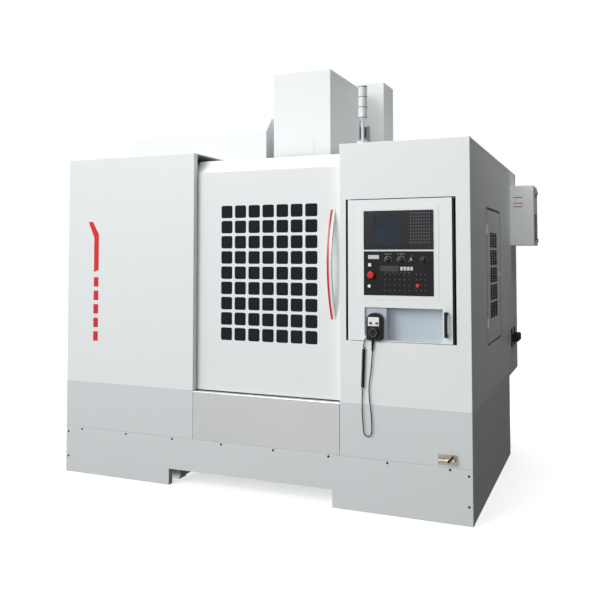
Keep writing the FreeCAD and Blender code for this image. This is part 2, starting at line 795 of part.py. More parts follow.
def table():
    slab = box(around(CENTRE_X, TABLE_HALF_X), around(SPINDLE_Y, TABLE_HALF_Y),
               (table_bottom(), table_top()))
    slots = []
    for i in range(SLOT_COUNT):
        y = SPINDLE_Y + (i - (SLOT_COUNT - 1) / 2) * SLOT_PITCH
        run = around(CENTRE_X, TABLE_HALF_X + 1)
        slots.append(box(run, around(y, SLOT_W / 2), (table_top() - SLOT_NECK - 1, table_top() + 1)))
        slots.append(box(run, around(y, SLOT_HEAD_W / 2),
                         (table_top() - SLOT_NECK - SLOT_HEAD_H, table_top() - SLOT_NECK)))
    blocks = [carriage(CENTRE_X + i * CARRIAGE_OFFSET, SPINDLE_Y + j * X_GUIDE_HALF, saddle_top(), "X")
              for i in (-1, 1) for j in (-1, 1)]
    nut = box(around(CENTRE_X, NUT_BLOCK), around(SPINDLE_Y, NUT_HALF),
              (x_screw_z() - X_NUT_BELOW, table_bottom()))
    body = union([without(slab, slots)] + blocks + [nut])
    return body.cut(rod((0, SPINDLE_Y, x_screw_z()), X_AXIS, SCREW_LINE_R + SLIDE_GAP, WIDTH))


def ball_screw(start, axis, length):
    """Screw of the full radius between two thinner journals, each in a bearing and one in a motor."""
    start = V(*start)
    journal = BEARING_BLOCK + 1
    thread = length - 2 * journal
    parts = [Part.makeCylinder(JOURNAL_R, journal + JOURNAL_TAIL, start - axis * JOURNAL_TAIL, axis),
             Part.makeCylinder(SCREW_LINE_R, thread, start + axis * journal, axis),
             Part.makeCylinder(JOURNAL_R, journal - JOURNAL_END_GAP, start + axis * (journal + thread), axis)]
    return union(parts)


def y_screw():
    return ball_screw((CENTRE_X, BED_FRONT, y_screw_z()), Y_AXIS, COLUMN_FRONT + BEARING_BLOCK - BED_FRONT)


def x_screw():
    return ball_screw((CENTRE_X + SADDLE_HALF_X, SPINDLE_Y, x_screw_z()), -X_AXIS, 2 * SADDLE_HALF_X)


def z_screw():
    foot = BED_TOP + BED_WALL
    return ball_screw((CENTRE_X, Z_SCREW_Y, COLUMN_TOP), -Z_AXIS, COLUMN_TOP - foot + BEARING_BLOCK)


# ---------------------------------------------------------------- spindle head
def z_carriage(x, z):
    """Guide carriage on the column's front rail, opening to the back."""
    half_r = GUIDE_W / 2 + SLIDE_GAP
    front = COLUMN_FRONT - CARRIAGE_HEIGHT
    back = COLUMN_FRONT - CARRIAGE_FOOT
    block = box(around(x, Z_CARRIAGE_HALF), (front, back), around(z, CARRIAGE_LENGTH / 2))
    inner = COLUMN_FRONT - GUIDE_H - SLIDE_GAP
    return block.cut(box(around(x, half_r), (inner, back + 1), around(z, CARRIAGE_LENGTH / 2 + 1)))


def spindle_head():
    front = COLUMN_FRONT - CARRIAGE_HEIGHT
    plate = box(around(CENTRE_X, HEAD_PLATE_HALF), (front - HEAD_PLATE_THICK, front), HEAD_PLATE_Z)
    body = box(around(CENTRE_X, HEAD_HALF), (HEAD_FRONT, front - HEAD_PLATE_THICK),
               (HEAD_BOTTOM, HEAD_BODY_TOP))
    flange = box(COVER_X, COVER_Y, (HEAD_BODY_TOP, HEAD_BODY_TOP + HEAD_FLANGE))
    nose = rod((CENTRE_X, SPINDLE_Y, NOSE_Z + NOSE_STEP), Z_AXIS, NOSE_R, HEAD_BOTTOM - NOSE_Z)
    blocks = [z_carriage(CENTRE_X + i * Z_GUIDE_HALF, z) for i in (-1, 1)
              for z in (HEAD_PLATE_Z[0] + CARRIAGE_LENGTH, HEAD_PLATE_Z[1] - CARRIAGE_LENGTH)]
    nut_z = sum(HEAD_PLATE_Z) / 2
    nut = box(around(CENTRE_X, NUT_HALF), (front - 1, Z_SCREW_Y + NUT_BELOW),
              around(nut_z, NUT_BLOCK))
    head = union([plate, body, flange, nose, nut] + blocks)
    bores = [rod((CENTRE_X, SPINDLE_Y, 0), Z_AXIS, SPINDLE_R + FIT_GAP, COVER_TOP),
             rod((CENTRE_X, Z_SCREW_Y, 0), Z_AXIS, SCREW_LINE_R + SLIDE_GAP, COVER_TOP)]
    return without(head, bores)


def motor_bottom():
    return HEAD_BODY_TOP + HEAD_FLANGE


def spindle_motor():
    half = SPINDLE_MOTOR_HALF
    body = box(around(CENTRE_X, half), around(SPINDLE_Y, half),
               (motor_bottom(), motor_bottom() + SPINDLE_MOTOR_HEIGHT))
    body = rounded(body, lambda e: not on_plane(e, "Z", e.BoundBox.ZMin), MOTOR_EDGE_R)
    fan = rod((CENTRE_X, SPINDLE_Y, motor_bottom() + SPINDLE_MOTOR_HEIGHT), Z_AXIS, *FAN)
    bore = rod((CENTRE_X, SPINDLE_Y, motor_bottom() - 1), Z_AXIS, DRAWBAR_R * 2 + FIT_GAP, TAIL_BORE)
    return body.fuse(fan).cut(bore)


def spindle():
    """Spindle shaft with a steep-taper socket, two drive keys and a tail in the motor."""
    top = motor_bottom() - SHAFT_END_GAP
    shaft = rod((CENTRE_X, SPINDLE_Y, NOSE_Z), Z_AXIS, SPINDLE_R, top - NOSE_Z)
    tail = rod((CENTRE_X, SPINDLE_Y, top), Z_AXIS, DRAWBAR_R * 2, TAIL_LENGTH)
    socket = Part.makeCone(TAPER_R, TAPER_SMALL_R, TAPER_DEPTH, V(CENTRE_X, SPINDLE_Y, NOSE_Z))
    drawbar = rod((CENTRE_X, SPINDLE_Y, NOSE_Z), Z_AXIS, DRAWBAR_R, DRAWBAR_DEPTH)
    width, length, height = DRIVE_KEY
    keys = [box(around(CENTRE_X, width / 2), sorted((SPINDLE_Y + s * (TAPER_R + KEY_MARGIN),
                SPINDLE_Y + s * (TAPER_R + KEY_MARGIN + length))), (NOSE_Z - height, NOSE_Z + 1)) for s in (-1, 1)]
    return without(union([shaft, tail] + keys), [socket, drawbar])


def head_cover():
    """Sheet cover over the head and spindle motor, with a screwed plate low on its front."""
    shell = box(COVER_X, COVER_Y, (motor_bottom(), COVER_TOP))
    shell = rounded(shell, lambda e: not on_plane(e, "Z", motor_bottom()), BEND)
    hollow = box((COVER_X[0] + SHEET, COVER_X[1] - SHEET), (COVER_Y[0] + SHEET, COVER_Y[1] - SHEET),
                 (motor_bottom() - 1, COVER_TOP - SHEET))
    width, height, thick = COVER_PLATE
    plate = box(around(sum(COVER_X) / 2, width / 2), (COVER_Y[0] - thick, COVER_Y[0]),
                (COVER_PLATE_TOP - height / 2, COVER_PLATE_TOP))
    return union([shell.cut(hollow), plate])


def column_cover():
    shell = hood(COLUMN_COVER_X, COLUMN_COVER_Y, (HEIGHT, COLUMN_COVER_TOP), SHEET)
    left, right, top = COLUMN_COVER_WINDOW
    return shell.cut(box((left, right), (COLUMN_COVER_Y[0] - 1, COLUMN_COVER_Y[0] + SHEET + 1),
                         (HEIGHT - 1, top)))


# ---------------------------------------------------------------- magazine and changer
def magazine_frame():
    """Welded bracket from the column that carries the disc bearing and the arm's gearbox."""
    gear_x, gear_y, gear_h = GEARBOX
    gearbox = box(around(ARM_X, gear_x), around(SPINDLE_Y, gear_y),
                  (GEARBOX_BOTTOM, GEARBOX_BOTTOM + gear_h))
    beam = box(BEAM_X, (SPINDLE_Y + gear_y, COLUMN_FRONT), BEAM_Z)
    plate = box((DISC_X - BRACKET_HALF, BEAM_X[1]), BRACKET_Y, (BEAM_Z[0], DISC_Z + BRACKET_HALF))
    boss = rod((DISC_X, DISC_Y + DISC_THICK + BOSS_GAP, DISC_Z), Y_AXIS, BOSS_R,
               BRACKET_Y[1] - DISC_Y - DISC_THICK + BOSS_TAIL)
    frame = union([gearbox, beam, plate, boss])
    bores = [rod((DISC_X, DISC_Y, DISC_Z), Y_AXIS, DISC_SHAFT_R + FIT_GAP, DEPTH),
             rod((ARM_X, SPINDLE_Y, GEARBOX_BOTTOM - 1), Z_AXIS, ARM_SHAFT_R + FIT_GAP, gear_h - GEARBOX_ROOF)]
    return without(frame, bores)


def pot_places():
    """Centre of each tool pot on the disc."""
    for i in range(POT_COUNT):
        angle = 2 * math.pi * i / POT_COUNT
        yield DISC_X + POT_RING * math.cos(angle), DISC_Z + POT_RING * math.sin(angle)


def magazine_disc():
    """Disc with its shaft and a ring of tool pots facing the front, each closed by a dust cap."""
    disc = rod((DISC_X, DISC_Y, DISC_Z), Y_AXIS, DISC_R, DISC_THICK)
    shaft = rod((DISC_X, DISC_Y + DISC_THICK, DISC_Z), Y_AXIS, DISC_SHAFT_R, DISC_SHAFT_LENGTH)
    cap_r, cap_length = POT_CAP
    front = DISC_Y - POT_LENGTH
    pots = [rod((x, front, z), Y_AXIS, POT_R, POT_LENGTH) for x, z in pot_places()]
    caps = [rod((x, front - cap_length, z), Y_AXIS, cap_r, cap_length) for x, z in pot_places()]
    return union([disc, shaft] + pots + caps)


def arm_shaft():
    """Shaft that lifts and lowers the changer arm."""
    length = GEARBOX[2] - SHAFT_HEADROOM - ARM_STROKE
    shaft = rod((ARM_X, SPINDLE_Y, ARM_TOP - ARM_THICK - ARM_NECK_DROP), Z_AXIS, ARM_NECK_R,
                ARM_THICK + ARM_NECK_DROP + ARM_NECK_RISE)
    upper = rod((ARM_X, SPINDLE_Y, ARM_TOP + SLIDE_GAP), Z_AXIS, ARM_SHAFT_R,
                GEARBOX_BOTTOM - ARM_TOP + length)
    collar = rod((ARM_X, SPINDLE_Y, ARM_TOP - ARM_THICK - COLLAR), Z_AXIS, ARM_SHAFT_R, COLLAR - SLIDE_GAP)
    return union([shaft, upper, collar])


def changer_arm():
    """Double-ended arm with an open gripper at each end, parked along Y."""
    low = ARM_TOP - ARM_THICK
    bar = box(around(ARM_X, ARM_BAR_HALF), around(SPINDLE_Y, ARM_REACH - GRIP_R), (low, ARM_TOP))
    hub = rod((ARM_X, SPINDLE_Y, low), Z_AXIS, HUB_R, ARM_THICK)
    heads = [rod((ARM_X, SPINDLE_Y + s * ARM_REACH, low), Z_AXIS, GRIP_HEAD_R, ARM_THICK)
             for s in (-1, 1)]
    arm = union([bar, hub] + heads)
    cuts = [rod((ARM_X, SPINDLE_Y, low - 1), Z_AXIS, ARM_NECK_R + FIT_GAP, ARM_THICK + 2)]
    for s in (-1, 1):
        y = SPINDLE_Y + s * ARM_REACH
        cuts.append(rod((ARM_X, y, low - 1), Z_AXIS, GRIP_R, ARM_THICK + 2))
        cuts.append(box(sorted((ARM_X, ARM_X + s * ARM_WIDTH)), around(y, GRIP_R), (low - 1, ARM_TOP + 1)))
    return without(arm, cuts)


def magazine_cover():
    (x0, x1), (y0, y1) = MAG_COVER_X, MAG_COVER_Y
    run, drop = MAG_COVER_BEVEL

    def section(inset, foot):
        top = MAG_COVER_TOP - inset
        knee = MAG_COVER_TOP - drop - inset * MITRE
        return [(y0 + inset, foot), (y0 + inset, knee), (y0 + run + inset * MITRE, top),
                (y1 - inset, top), (y1 - inset, foot)]

    outer = profile(section(0, HEIGHT), "yz", x0, x1 - x0)
    inner = profile(section(SHEET, HEIGHT - 1), "yz", x0 + SHEET, x1 - x0 - 2 * SHEET)
    return outer.cut(inner)


# ---------------------------------------------------------------- guard panels
def skirt_panels():
    """Front skirt with its long opening, and the two side skirts."""
    zs = (SKIRT_LIFT, SKIRT_TOP)
    front = front_pan((0, WIDTH), (0, FRONT_FOLD), zs)
    opening = box(SKIRT_OPENING_X, (-1, FRONT_FOLD + 1), (0, SKIRT_OPENING_HEIGHT))
    frame = box((SKIRT_OPENING_X[0] - SHEET, SKIRT_OPENING_X[1] + SHEET), (SHEET, FRONT_FOLD),
                (SKIRT_LIFT, SKIRT_OPENING_HEIGHT + SHEET))
    front = front.fuse(frame).cut(opening)
    right = side_pan((WIDTH - SIDE_FOLD, WIDTH), (FRONT_FOLD, SIDE_DEPTH), zs, WIDTH)
    left = side_pan((0, SIDE_FOLD), (FRONT_FOLD, SIDE_DEPTH), zs, 0)
    return Part.makeCompound([without(front, screw_holes()), left, right])


def screw_places():
    """X and Z of each screw in the front skirt."""
    for i in range(SCREW_COUNT):
        yield SCREW_FIRST_X + i * SCREW_PITCH, SKIRT_TOP - SCREW_DROP
    for x in (END_SCREW_INSET, WIDTH - END_SCREW_INSET):
        for z in END_SCREW_Z:
            yield x, z


def screw_holes():
    return [rod((x, -1, z), Y_AXIS, SCREW_R / 2 + SLIDE_GAP, SHEET + 2) for x, z in screw_places()]


def panel_screws():
    """Domed screws that hold the front skirt."""
    screws = []
    for x, z in screw_places():
        head = rod((x, -SCREW_HEAD, z), Y_AXIS, SCREW_R, SCREW_HEAD)
        head = rounded(head, lambda e: on_plane(e, "Y", -SCREW_HEAD), SCREW_DOME)
        socket = hexagon(0, 0, 0, *SCREW_SOCKET)
        socket.Placement = FreeCAD.Placement(V(x, -SCREW_HEAD - TOUCH, z), FreeCAD.Rotation(Z_AXIS, Y_AXIS))
        shank = rod((x, 0, z), Y_AXIS, SCREW_R / 2, SCREW_LENGTH)
        screws.append(head.cut(socket).fuse(shank))
    return Part.makeCompound(screws)


def corner_panel(xs, face):
    """Lower panel folded round a front corner: a front leg and a side leg."""
    zs = (SKIRT_TOP, WAIST)
    side = (WIDTH - SIDE_FOLD, WIDTH) if face > 0 else (0, SIDE_FOLD)
    blocks = [box(xs, (0, FRONT_FOLD), zs), box(side, (0, SIDE_DEPTH), zs)]
    body = union(blocks)
    body = rounded(body, lambda e: on_plane(e, "Y", 0) or on_plane(e, "X", face), BEND)
    inner_z = (SKIRT_TOP + SHEET, WAIST - SHEET)
    front = box((xs[0] + SHEET, xs[1] - SHEET), (SHEET, FRONT_FOLD + 1), inner_z)
    inward = -SHEET if face > 0 else SHEET
    depth = box((side[0] + inward, side[1] + inward), (SHEET, SIDE_DEPTH - SHEET), inner_z)
    if face > 0:
        depth = depth.fuse(box((side[0] - 1, side[1] + inward), (SHEET, SIDE_DEPTH - SHEET), inner_z))
    else:
        depth = depth.fuse(box((side[0] + inward, side[1] + 1), (SHEET, SIDE_DEPTH - SHEET), inner_z))
    return without(body, [front, depth])


def lower_panels():
    return Part.makeCompound([corner_panel((0, DOOR_LEFT), 0), corner_panel((DOOR_RIGHT, WIDTH), WIDTH)])


def kick_panel():
    return front_pan((DOOR_LEFT, DOOR_RIGHT), (0, FRONT_FOLD), (SKIRT_TOP, WAIST))


def left_front_cover():
    return front_pan((0, DOOR_LEFT), (0, FRONT_FOLD), (WAIST, HEIGHT))


def right_front_cover():
    """Front cover with the console opening, its folded frame and the two console pivots."""
    cover = front_pan((DOOR_RIGHT, WIDTH), (0, FRONT_FOLD), (WAIST, HEIGHT))
    frame = box((OPENING_X[0] - SHEET, OPENING_X[1] + SHEET), (SHEET, FRONT_FOLD),
                (OPENING_Z[0] - SHEET, OPENING_Z[1] + SHEET))
    opening = box(OPENING_X, (-1, FRONT_FOLD + 1), OPENING_Z)
    cover = cover.fuse(frame).cut(opening)
    px, py = PIVOT
    upper = rod((px, py, CONSOLE_Z[1] - PIVOT_DEPTH), Z_AXIS, PIVOT_R,
                OPENING_Z[1] - CONSOLE_Z[1] + PIVOT_DEPTH + SHEET)
    lower = rod((px, py, OPENING_Z[0] - SHEET), Z_AXIS, PIVOT_R,
                CONSOLE_Z[0] - OPENING_Z[0] + PIVOT_DEPTH + SHEET)
    collar = rod((px, py, OPENING_Z[0] - SHEET), Z_AXIS, PIVOT_BOSS_R,
                 CONSOLE_Z[0] - OPENING_Z[0] + SHEET - SLIDE_GAP / 2)
    return union([cover, upper, lower, collar])


def left_side_panel():
    """Side sheet with a return across the back as far as the column."""
    zs = (WAIST, HEIGHT - SIDE_FOLD)
    ys = (FRONT_FOLD, SIDE_DEPTH)
    side = box((0, SIDE_FOLD), ys, zs)
    back = box((0, CENTRE_X - COLUMN_HALF - COLUMN_GAP), (SIDE_DEPTH - SIDE_FOLD, SIDE_DEPTH), zs)
    body = rounded(union([side, back]), lambda e: on_plane(e, "X", 0), BEND)
    inner_z = (zs[0] + SHEET, zs[1] - SHEET)
    hollow = [box((SHEET, SIDE_FOLD + 1), (ys[0] + SHEET, SIDE_DEPTH - SHEET), inner_z),
              box((SHEET, CENTRE_X - COLUMN_HALF - COLUMN_GAP - SHEET), (SIDE_DEPTH - SIDE_FOLD - 1, SIDE_DEPTH - SHEET),
                  inner_z)]
    return without(body, hollow)


def knuckle_places(zs):
    """Foot of each of the two hinges on a door edge."""
    return (zs[0] + KNUCKLE_INSET, zs[1] - KNUCKLE_INSET - KNUCKLE_LENGTH)


def panel_knuckle(pivot, toward, z):
    """Fixed half of a lift-off hinge: leaf, barrel and pin. Toward is the leaf's side."""
    x, y = pivot
    half = KNUCKLE_LENGTH / 2
    barrel = rod((x, y, z), Z_AXIS, KNUCKLE_R, half - SLIDE_GAP)
    pin = rod((x, y, z), Z_AXIS, PIN_R, KNUCKLE_LENGTH - PIN_SHORT)
    return union([barrel, pin, hinge_leaf(pivot, toward, (z, z + half - SLIDE_GAP))])


def door_knuckle(pivot, toward, z):
    """Moving half of a lift-off hinge."""
    x, y = pivot
    half = KNUCKLE_LENGTH / 2
    barrel = rod((x, y, z + half), Z_AXIS, KNUCKLE_R, half)
    leaf = hinge_leaf(pivot, toward, (z + half, z + KNUCKLE_LENGTH))
    bore = rod((x, y, z - 1), Z_AXIS, PIN_R + FIT_GAP, KNUCKLE_LENGTH + 2)
    return union([barrel, leaf]).cut(bore)


def hinge_leaf(pivot, toward, zs):
    """Thin leaf on the face behind a knuckle, reaching toward a unit direction."""
    x, y = pivot
    length, thick = LEAF
    if toward[0] == 0:
        face = x - KNUCKLE_R
        ys = sorted((y + toward[1] * LEAF_START, y + toward[1] * length))
        return box((face, face + thick), ys, zs).fuse(
            box((face, x), sorted((y + toward[1] * LEAF_START, y + toward[1] * (KNUCKLE_R - 1))), zs))
    face = y - KNUCKLE_R
    xs = sorted((x + toward[0] * LEAF_START, x + toward[0] * length))
    return box(xs, (face, face + thick), zs).fuse(
        box(sorted((x + toward[0] * LEAF_START, x + toward[0] * (KNUCKLE_R - 1))), (face, y), zs))


def access_pivot():
    return WIDTH + KNUCKLE_R, ACCESS_Y[0] + ACCESS_SIDE_GAP / 2


def right_side_panel():
    """Side sheet with the access opening, its folded frame and two hinge halves."""
    panel = side_pan((WIDTH - SIDE_FOLD, WIDTH), (FRONT_FOLD, SIDE_DEPTH),
                     (WAIST, HEIGHT - SIDE_FOLD), WIDTH)
    frame = box((WIDTH - SIDE_FOLD, WIDTH - SHEET), (ACCESS_Y[0] - SHEET, ACCESS_Y[1] + SHEET),
                (ACCESS_Z[0] - SHEET, ACCESS_Z[1] + SHEET))
    panel = panel.fuse(frame).cut(box((WIDTH - SIDE_FOLD - 1, WIDTH + 1), ACCESS_Y, ACCESS_Z))
    halves = [panel_knuckle(access_pivot(), (0, -1), z) for z in knuckle_places(ACCESS_Z)]
    return union([panel] + halves)


def louvre_slots():
    """Stacks of slots in a grid of patches."""
    slots = []
    for y in LOUVRE_Y:
        for z in LOUVRE_Z:
            for i in range(LOUVRE_SLOTS):
                low = z + i * LOUVRE_PITCH
                slots.append(box((WIDTH - SHEET - 1, WIDTH + 1), (y, y + LOUVRE_WIDTH),
                                 (low, low + LOUVRE_SLOT)))
    return slots


def side_door():
    ys = (ACCESS_Y[0] + ACCESS_SIDE_GAP, ACCESS_Y[1] - ACCESS_SIDE_GAP)
    zs = (ACCESS_Z[0] + ACCESS_END_GAP, ACCESS_Z[1] - ACCESS_END_GAP)
    pan = side_pan((WIDTH - SIDE_FOLD + ACCESS_DOOR_GAP, WIDTH), ys, zs, WIDTH)
    latch_y = ys[1] - LATCH_INSET
    middle = sum(zs) / 2
    cam_thick, cam_half, cam_reach = LATCH_CAM
    cam_x = WIDTH - SIDE_FOLD - cam_thick
    latch = rod((WIDTH - SHEET, latch_y, middle), X_AXIS, LATCH_R, SHEET + LATCH_OUT)
    cam = box((cam_x, cam_x + cam_thick), around(latch_y, cam_half), around(middle, cam_reach))
    stem = rod((cam_x, latch_y, middle), X_AXIS, LATCH_R / 2, WIDTH - SHEET / 2 - cam_x)
    halves = [door_knuckle(access_pivot(), (0, 1), z) for z in knuckle_places(ACCESS_Z)]
    return union([without(pan, louvre_slots()), latch, stem, cam] + halves)


def roof_panel():
    zs = (HEIGHT - SIDE_FOLD, HEIGHT)
    roof = roof_pan((0, WIDTH), (FRONT_FOLD, SIDE_DEPTH), zs)
    tall = (zs[0] - 1, zs[1] + 1)
    openings = [((DOOR_LEFT, DOOR_RIGHT), (FRONT_FOLD - 1, ROOF_DOOR_BACK)),
                (ROOF_HEAD_X, (ROOF_HEAD_FRONT, ROOF_COLUMN_FRONT + 1)),
                (ROOF_COLUMN_X, (ROOF_COLUMN_FRONT, SIDE_DEPTH + 1)),
                ((MAG_COVER_X[0] + ROOF_MAG_MARGIN, MAG_COVER_X[1] - ROOF_MAG_MARGIN),
                 (MAG_COVER_Y[0] + ROOF_MAG_MARGIN, MAG_COVER_Y[1] - ROOF_MAG_MARGIN))]
    return without(roof, [box(xs, ys, tall) for xs, ys in openings])


def inner_guard():
    """Welded liner: chip troughs either side of the bed, a rear wall and a rim."""
    t = MIST_SHEET
    xs = (SIDE_FOLD, WIDTH - SIDE_FOLD)
    ys = (TRAY_FRONT, TRAY_BACK)
    tub = box(xs, ys, (TRAY_Z, TRAY_LIP))
    hollow = box((xs[0] + t, xs[1] - t), (ys[0] + t, ys[1] - t), (TRAY_Z + t, TRAY_LIP + 1))
    rim_x = (TRAY_WELL_X[0] - t, TRAY_WELL_X[1] + t)
    rim = box(rim_x, (TRAY_WELL_FRONT - t, TRAY_BACK - t), (TRAY_Z, BED_TOP - RIM_DROP))
    well = box(TRAY_WELL_X, (TRAY_WELL_FRONT, TRAY_BACK + 1), (TRAY_Z - 1, TRAY_LIP + 1))
    rear = box(xs, (TRAY_BACK - t, TRAY_BACK), (TRAY_LIP, REAR_WALL_TOP))
    gap = box(REAR_GAP_X, (TRAY_BACK - t - 1, TRAY_BACK + 1), (TRAY_Z - 1, REAR_WALL_TOP + 1))
    beam = box((BEAM_X[0] - WALL_GAP, REAR_GAP_X[0] + 1), (TRAY_BACK - t - 1, TRAY_BACK + 1),
               (BEAM_Z[0] - WALL_GAP, BEAM_Z[1] + WALL_GAP))
    return without(tub.cut(hollow).fuse(rim).fuse(rear), [well, gap, beam])


# ---------------------------------------------------------------- sliding door
def door_section(inset, foot):
    """Side outline of the door sheet, inset by a thickness."""
    front = DOOR_RECESS + inset
    return [(front, foot), (front, DOOR_BEVEL_Z - inset * MITRE),
            (DOOR_BEVEL_Y + inset * MITRE, DOOR_TOP - inset), (DOOR_ROOF_BACK, DOOR_TOP - inset)]


def grid_holes():
    """Rounded square holes of the window grid."""
    depth = DOOR_FOLD
    holes = []
    for i in range(GRID_COLUMNS):
        for j in range(GRID_ROWS):
            x = GRID_LEFT + i * GRID_PITCH
            z = GRID_BOTTOM + j * GRID_PITCH
            hole = box((x, x + GRID_HOLE), (DOOR_RECESS - 1, DOOR_RECESS + depth), (z, z + GRID_HOLE))
            holes.append(rounded(hole, lambda e: e.Vertexes[0].X == e.Vertexes[1].X
                                 and e.Vertexes[0].Z == e.Vertexes[1].Z, GRID_CORNER))
    return holes


def door_span():
    return (DOOR_LEFT - DOOR_OVERLAP, DOOR_RIGHT - 2)


def door_panel():
    """Folded door sheet: face with the window grid, bevel and roof leaf, with its slide shoes."""
    left, right = door_span()
    outer = door_section(0, DOOR_BOTTOM)
    inner = door_section(SHEET, DOOR_BOTTOM)
    sheet = profile(outer + inner[::-1], "yz", left, right - left)
    folds = [box(xs, (DOOR_RECESS, DOOR_RECESS + DOOR_FOLD), (DOOR_BOTTOM, DOOR_BEVEL_Z - DOOR_FOLD_GAP))
             for xs in ((left, left + SHEET), (right - SHEET, right))]
    sill = box((left, right), (DOOR_RECESS, DOOR_RECESS + DOOR_FOLD), (DOOR_BOTTOM, DOOR_BOTTOM + SHEET))
    body = union([sheet, sill] + folds + door_shoes())
    return without(body, grid_holes())


def rail_z():
    """Height of the foot of each door rail."""
    low, high = RAIL_INSET
    return (DOOR_BOTTOM + low, DOOR_BEVEL_Z - RAIL_HEIGHT - high)


def door_shoes():
    """Channel shoes that hold the door on its two rails."""
    left, right = door_span()
    shoes = []
    for x in (left + SHOE_INSET, right - SHOE_INSET):
        for z in rail_z():
            low, high = RAIL_Y - SLIDE_GAP, RAIL_Y + RAIL_THICK + SLIDE_GAP
            block = box(around(x, SHOE_HALF), (DOOR_RECESS + 1, high + SHOE_WRAP),
                        (z + SHOE_GAP, z + RAIL_HEIGHT - SHOE_GAP))
            shoes.append(block.cut(box(around(x, SHOE_HALF + 1), (low, high), (z, z + RAIL_HEIGHT))))
    return [piece for shoe in shoes for piece in shoe.Solids if piece.BoundBox.YMin < RAIL_Y]


def door_rails():
    """Upper and lower rails, each on a bracket from the left side's fold and one from the right cover."""
    left_width, right_width = RAIL_BRACKET
    depth = (FRONT_FOLD, RAIL_Y + RAIL_THICK)
    parts = []
    for z in rail_z():
        tall = (z, z + RAIL_HEIGHT)
        bar = box((SIDE_FOLD, DOOR_RIGHT + right_width), (RAIL_Y, RAIL_Y + RAIL_THICK), tall)
        left = box((SIDE_FOLD, SIDE_FOLD + left_width), depth, tall)
        right = box((DOOR_RIGHT, DOOR_RIGHT + right_width), depth, tall)
        parts.append(union([bar, left, right]))
    return Part.makeCompound(parts)


def door_window():
    right = GRID_LEFT + (GRID_COLUMNS - 1) * GRID_PITCH + GRID_HOLE
    top = GRID_BOTTOM + (GRID_ROWS - 1) * GRID_PITCH + GRID_HOLE
    return box((GRID_LEFT - GLASS_MARGIN, right + GLASS_MARGIN),
               (DOOR_RECESS + SHEET, DOOR_RECESS + SHEET + GLASS),
               (GRID_BOTTOM - GLASS_MARGIN, top + GLASS_MARGIN))


def door_handle():
    """Bow handle: an arc that stands off the door between two flat feet."""
    half = (HANDLE_Z[1] - HANDLE_Z[0]) / 2
    radius = (half ** 2 + HANDLE_STANDOFF ** 2) / (2 * HANDLE_STANDOFF)
    middle = sum(HANDLE_Z) / 2
    centre = (HANDLE_X - HANDLE_WIDTH / 2, DOOR_RECESS - HANDLE_STANDOFF + radius, middle)
    ring = rod(centre, X_AXIS, radius, HANDLE_WIDTH)
    ring = ring.cut(rod(centre, X_AXIS, radius - HANDLE_THICK, HANDLE_WIDTH))
    keep = box(around(HANDLE_X, HANDLE_WIDTH), (DOOR_RECESS - 2 * HANDLE_STANDOFF, DOOR_RECESS), HANDLE_Z)
    bow = ring.common(keep)
    lift, foot = HANDLE_FOOT
    feet = [box(around(HANDLE_X, HANDLE_WIDTH / 2), (DOOR_RECESS - lift, DOOR_RECESS), zs)
            for zs in ((HANDLE_Z[0], HANDLE_Z[0] + foot), (HANDLE_Z[1] - foot, HANDLE_Z[1]))]
    return union([bow] + feet)


# ---------------------------------------------------------------- electrical cabinet
def electrical_cabinet():
    xs, ys, zs = (CABINET_LEFT, WIDTH), (SIDE_DEPTH, DEPTH), (CABINET_BOTTOM, HEIGHT)
    t = CABINET_WALL
    shell = rounded(box(xs, ys, zs), lambda e: on_plane(e, "X", WIDTH), BEND)
    inner = (xs[0] + t, xs[1] - t)
    hollow = box(inner, (ys[0] + t, ys[1] - SIDE_FOLD - t), (zs[0] + t, zs[1] - t))
    door_seat = box(inner, (ys[1] - SIDE_FOLD, ys[1] + 1), (zs[0] + t, zs[1] - t))
    mouth = box((inner[0] + CABINET_LIP, inner[1] - CABINET_LIP), (ys[0] + t, ys[1] + 1),
                (zs[0] + CABINET_LIP, zs[1] - CABINET_LIP))
    cabinet = without(shell, [hollow, door_seat, mouth])
    halves = [cabinet_knuckle(z) for z in knuckle_places(zs)]
    return union([cabinet] + halves)


def cabinet_pivot():
    return CABINET_LEFT + CABINET_WALL + CABINET_PIVOT_IN, DEPTH + KNUCKLE_R


def cabinet_knuckle(z):
    """Fixed hinge half at the cabinet's left rear edge, with its leaf on the cabinet's side."""
    x, y = cabinet_pivot()
    half = KNUCKLE_LENGTH / 2
    barrel = rod((x, y, z), Z_AXIS, KNUCKLE_R, half - SLIDE_GAP)
    pin = rod((x, y, z), Z_AXIS, PIN_R, KNUCKLE_LENGTH - PIN_SHORT)
    foot = box((x - KNUCKLE_R, x - LEAF_START), (DEPTH - PIVOT_FOOT, y), (z, z + half - SLIDE_GAP))
    return union([barrel, pin, foot])


def cabinet_door():
    t, gap = CABINET_WALL, CABINET_DOOR_GAP
    xs = (CABINET_LEFT + t + gap, WIDTH - t - gap)
    zs = (CABINET_BOTTOM + t + gap, HEIGHT - t - gap)
    ys = (DEPTH - SIDE_FOLD + SLIDE_GAP, DEPTH)
    pan = box(xs, ys, zs).cut(box((xs[0] + SHEET, xs[1] - SHEET), (ys[0] - 1, ys[1] - SHEET),
                                  (zs[0] + SHEET, zs[1] - SHEET)))
    far, near, out, half = LOCK_PLATE
    plate = box((xs[1] - far, xs[1] - near), (DEPTH - SHEET, DEPTH + out), around(sum(zs) / 2, half))
    far, near, out, half = LOCK_LEVER
    lever = box((xs[1] - far, xs[1] - near), (DEPTH + out, DEPTH + REAR_REACH), around(sum(zs) / 2, half))
    halves = [door_knuckle(cabinet_pivot(), (1, 0), z) for z in knuckle_places((CABINET_BOTTOM, HEIGHT))]
    return union([pan, plate, lever] + halves)


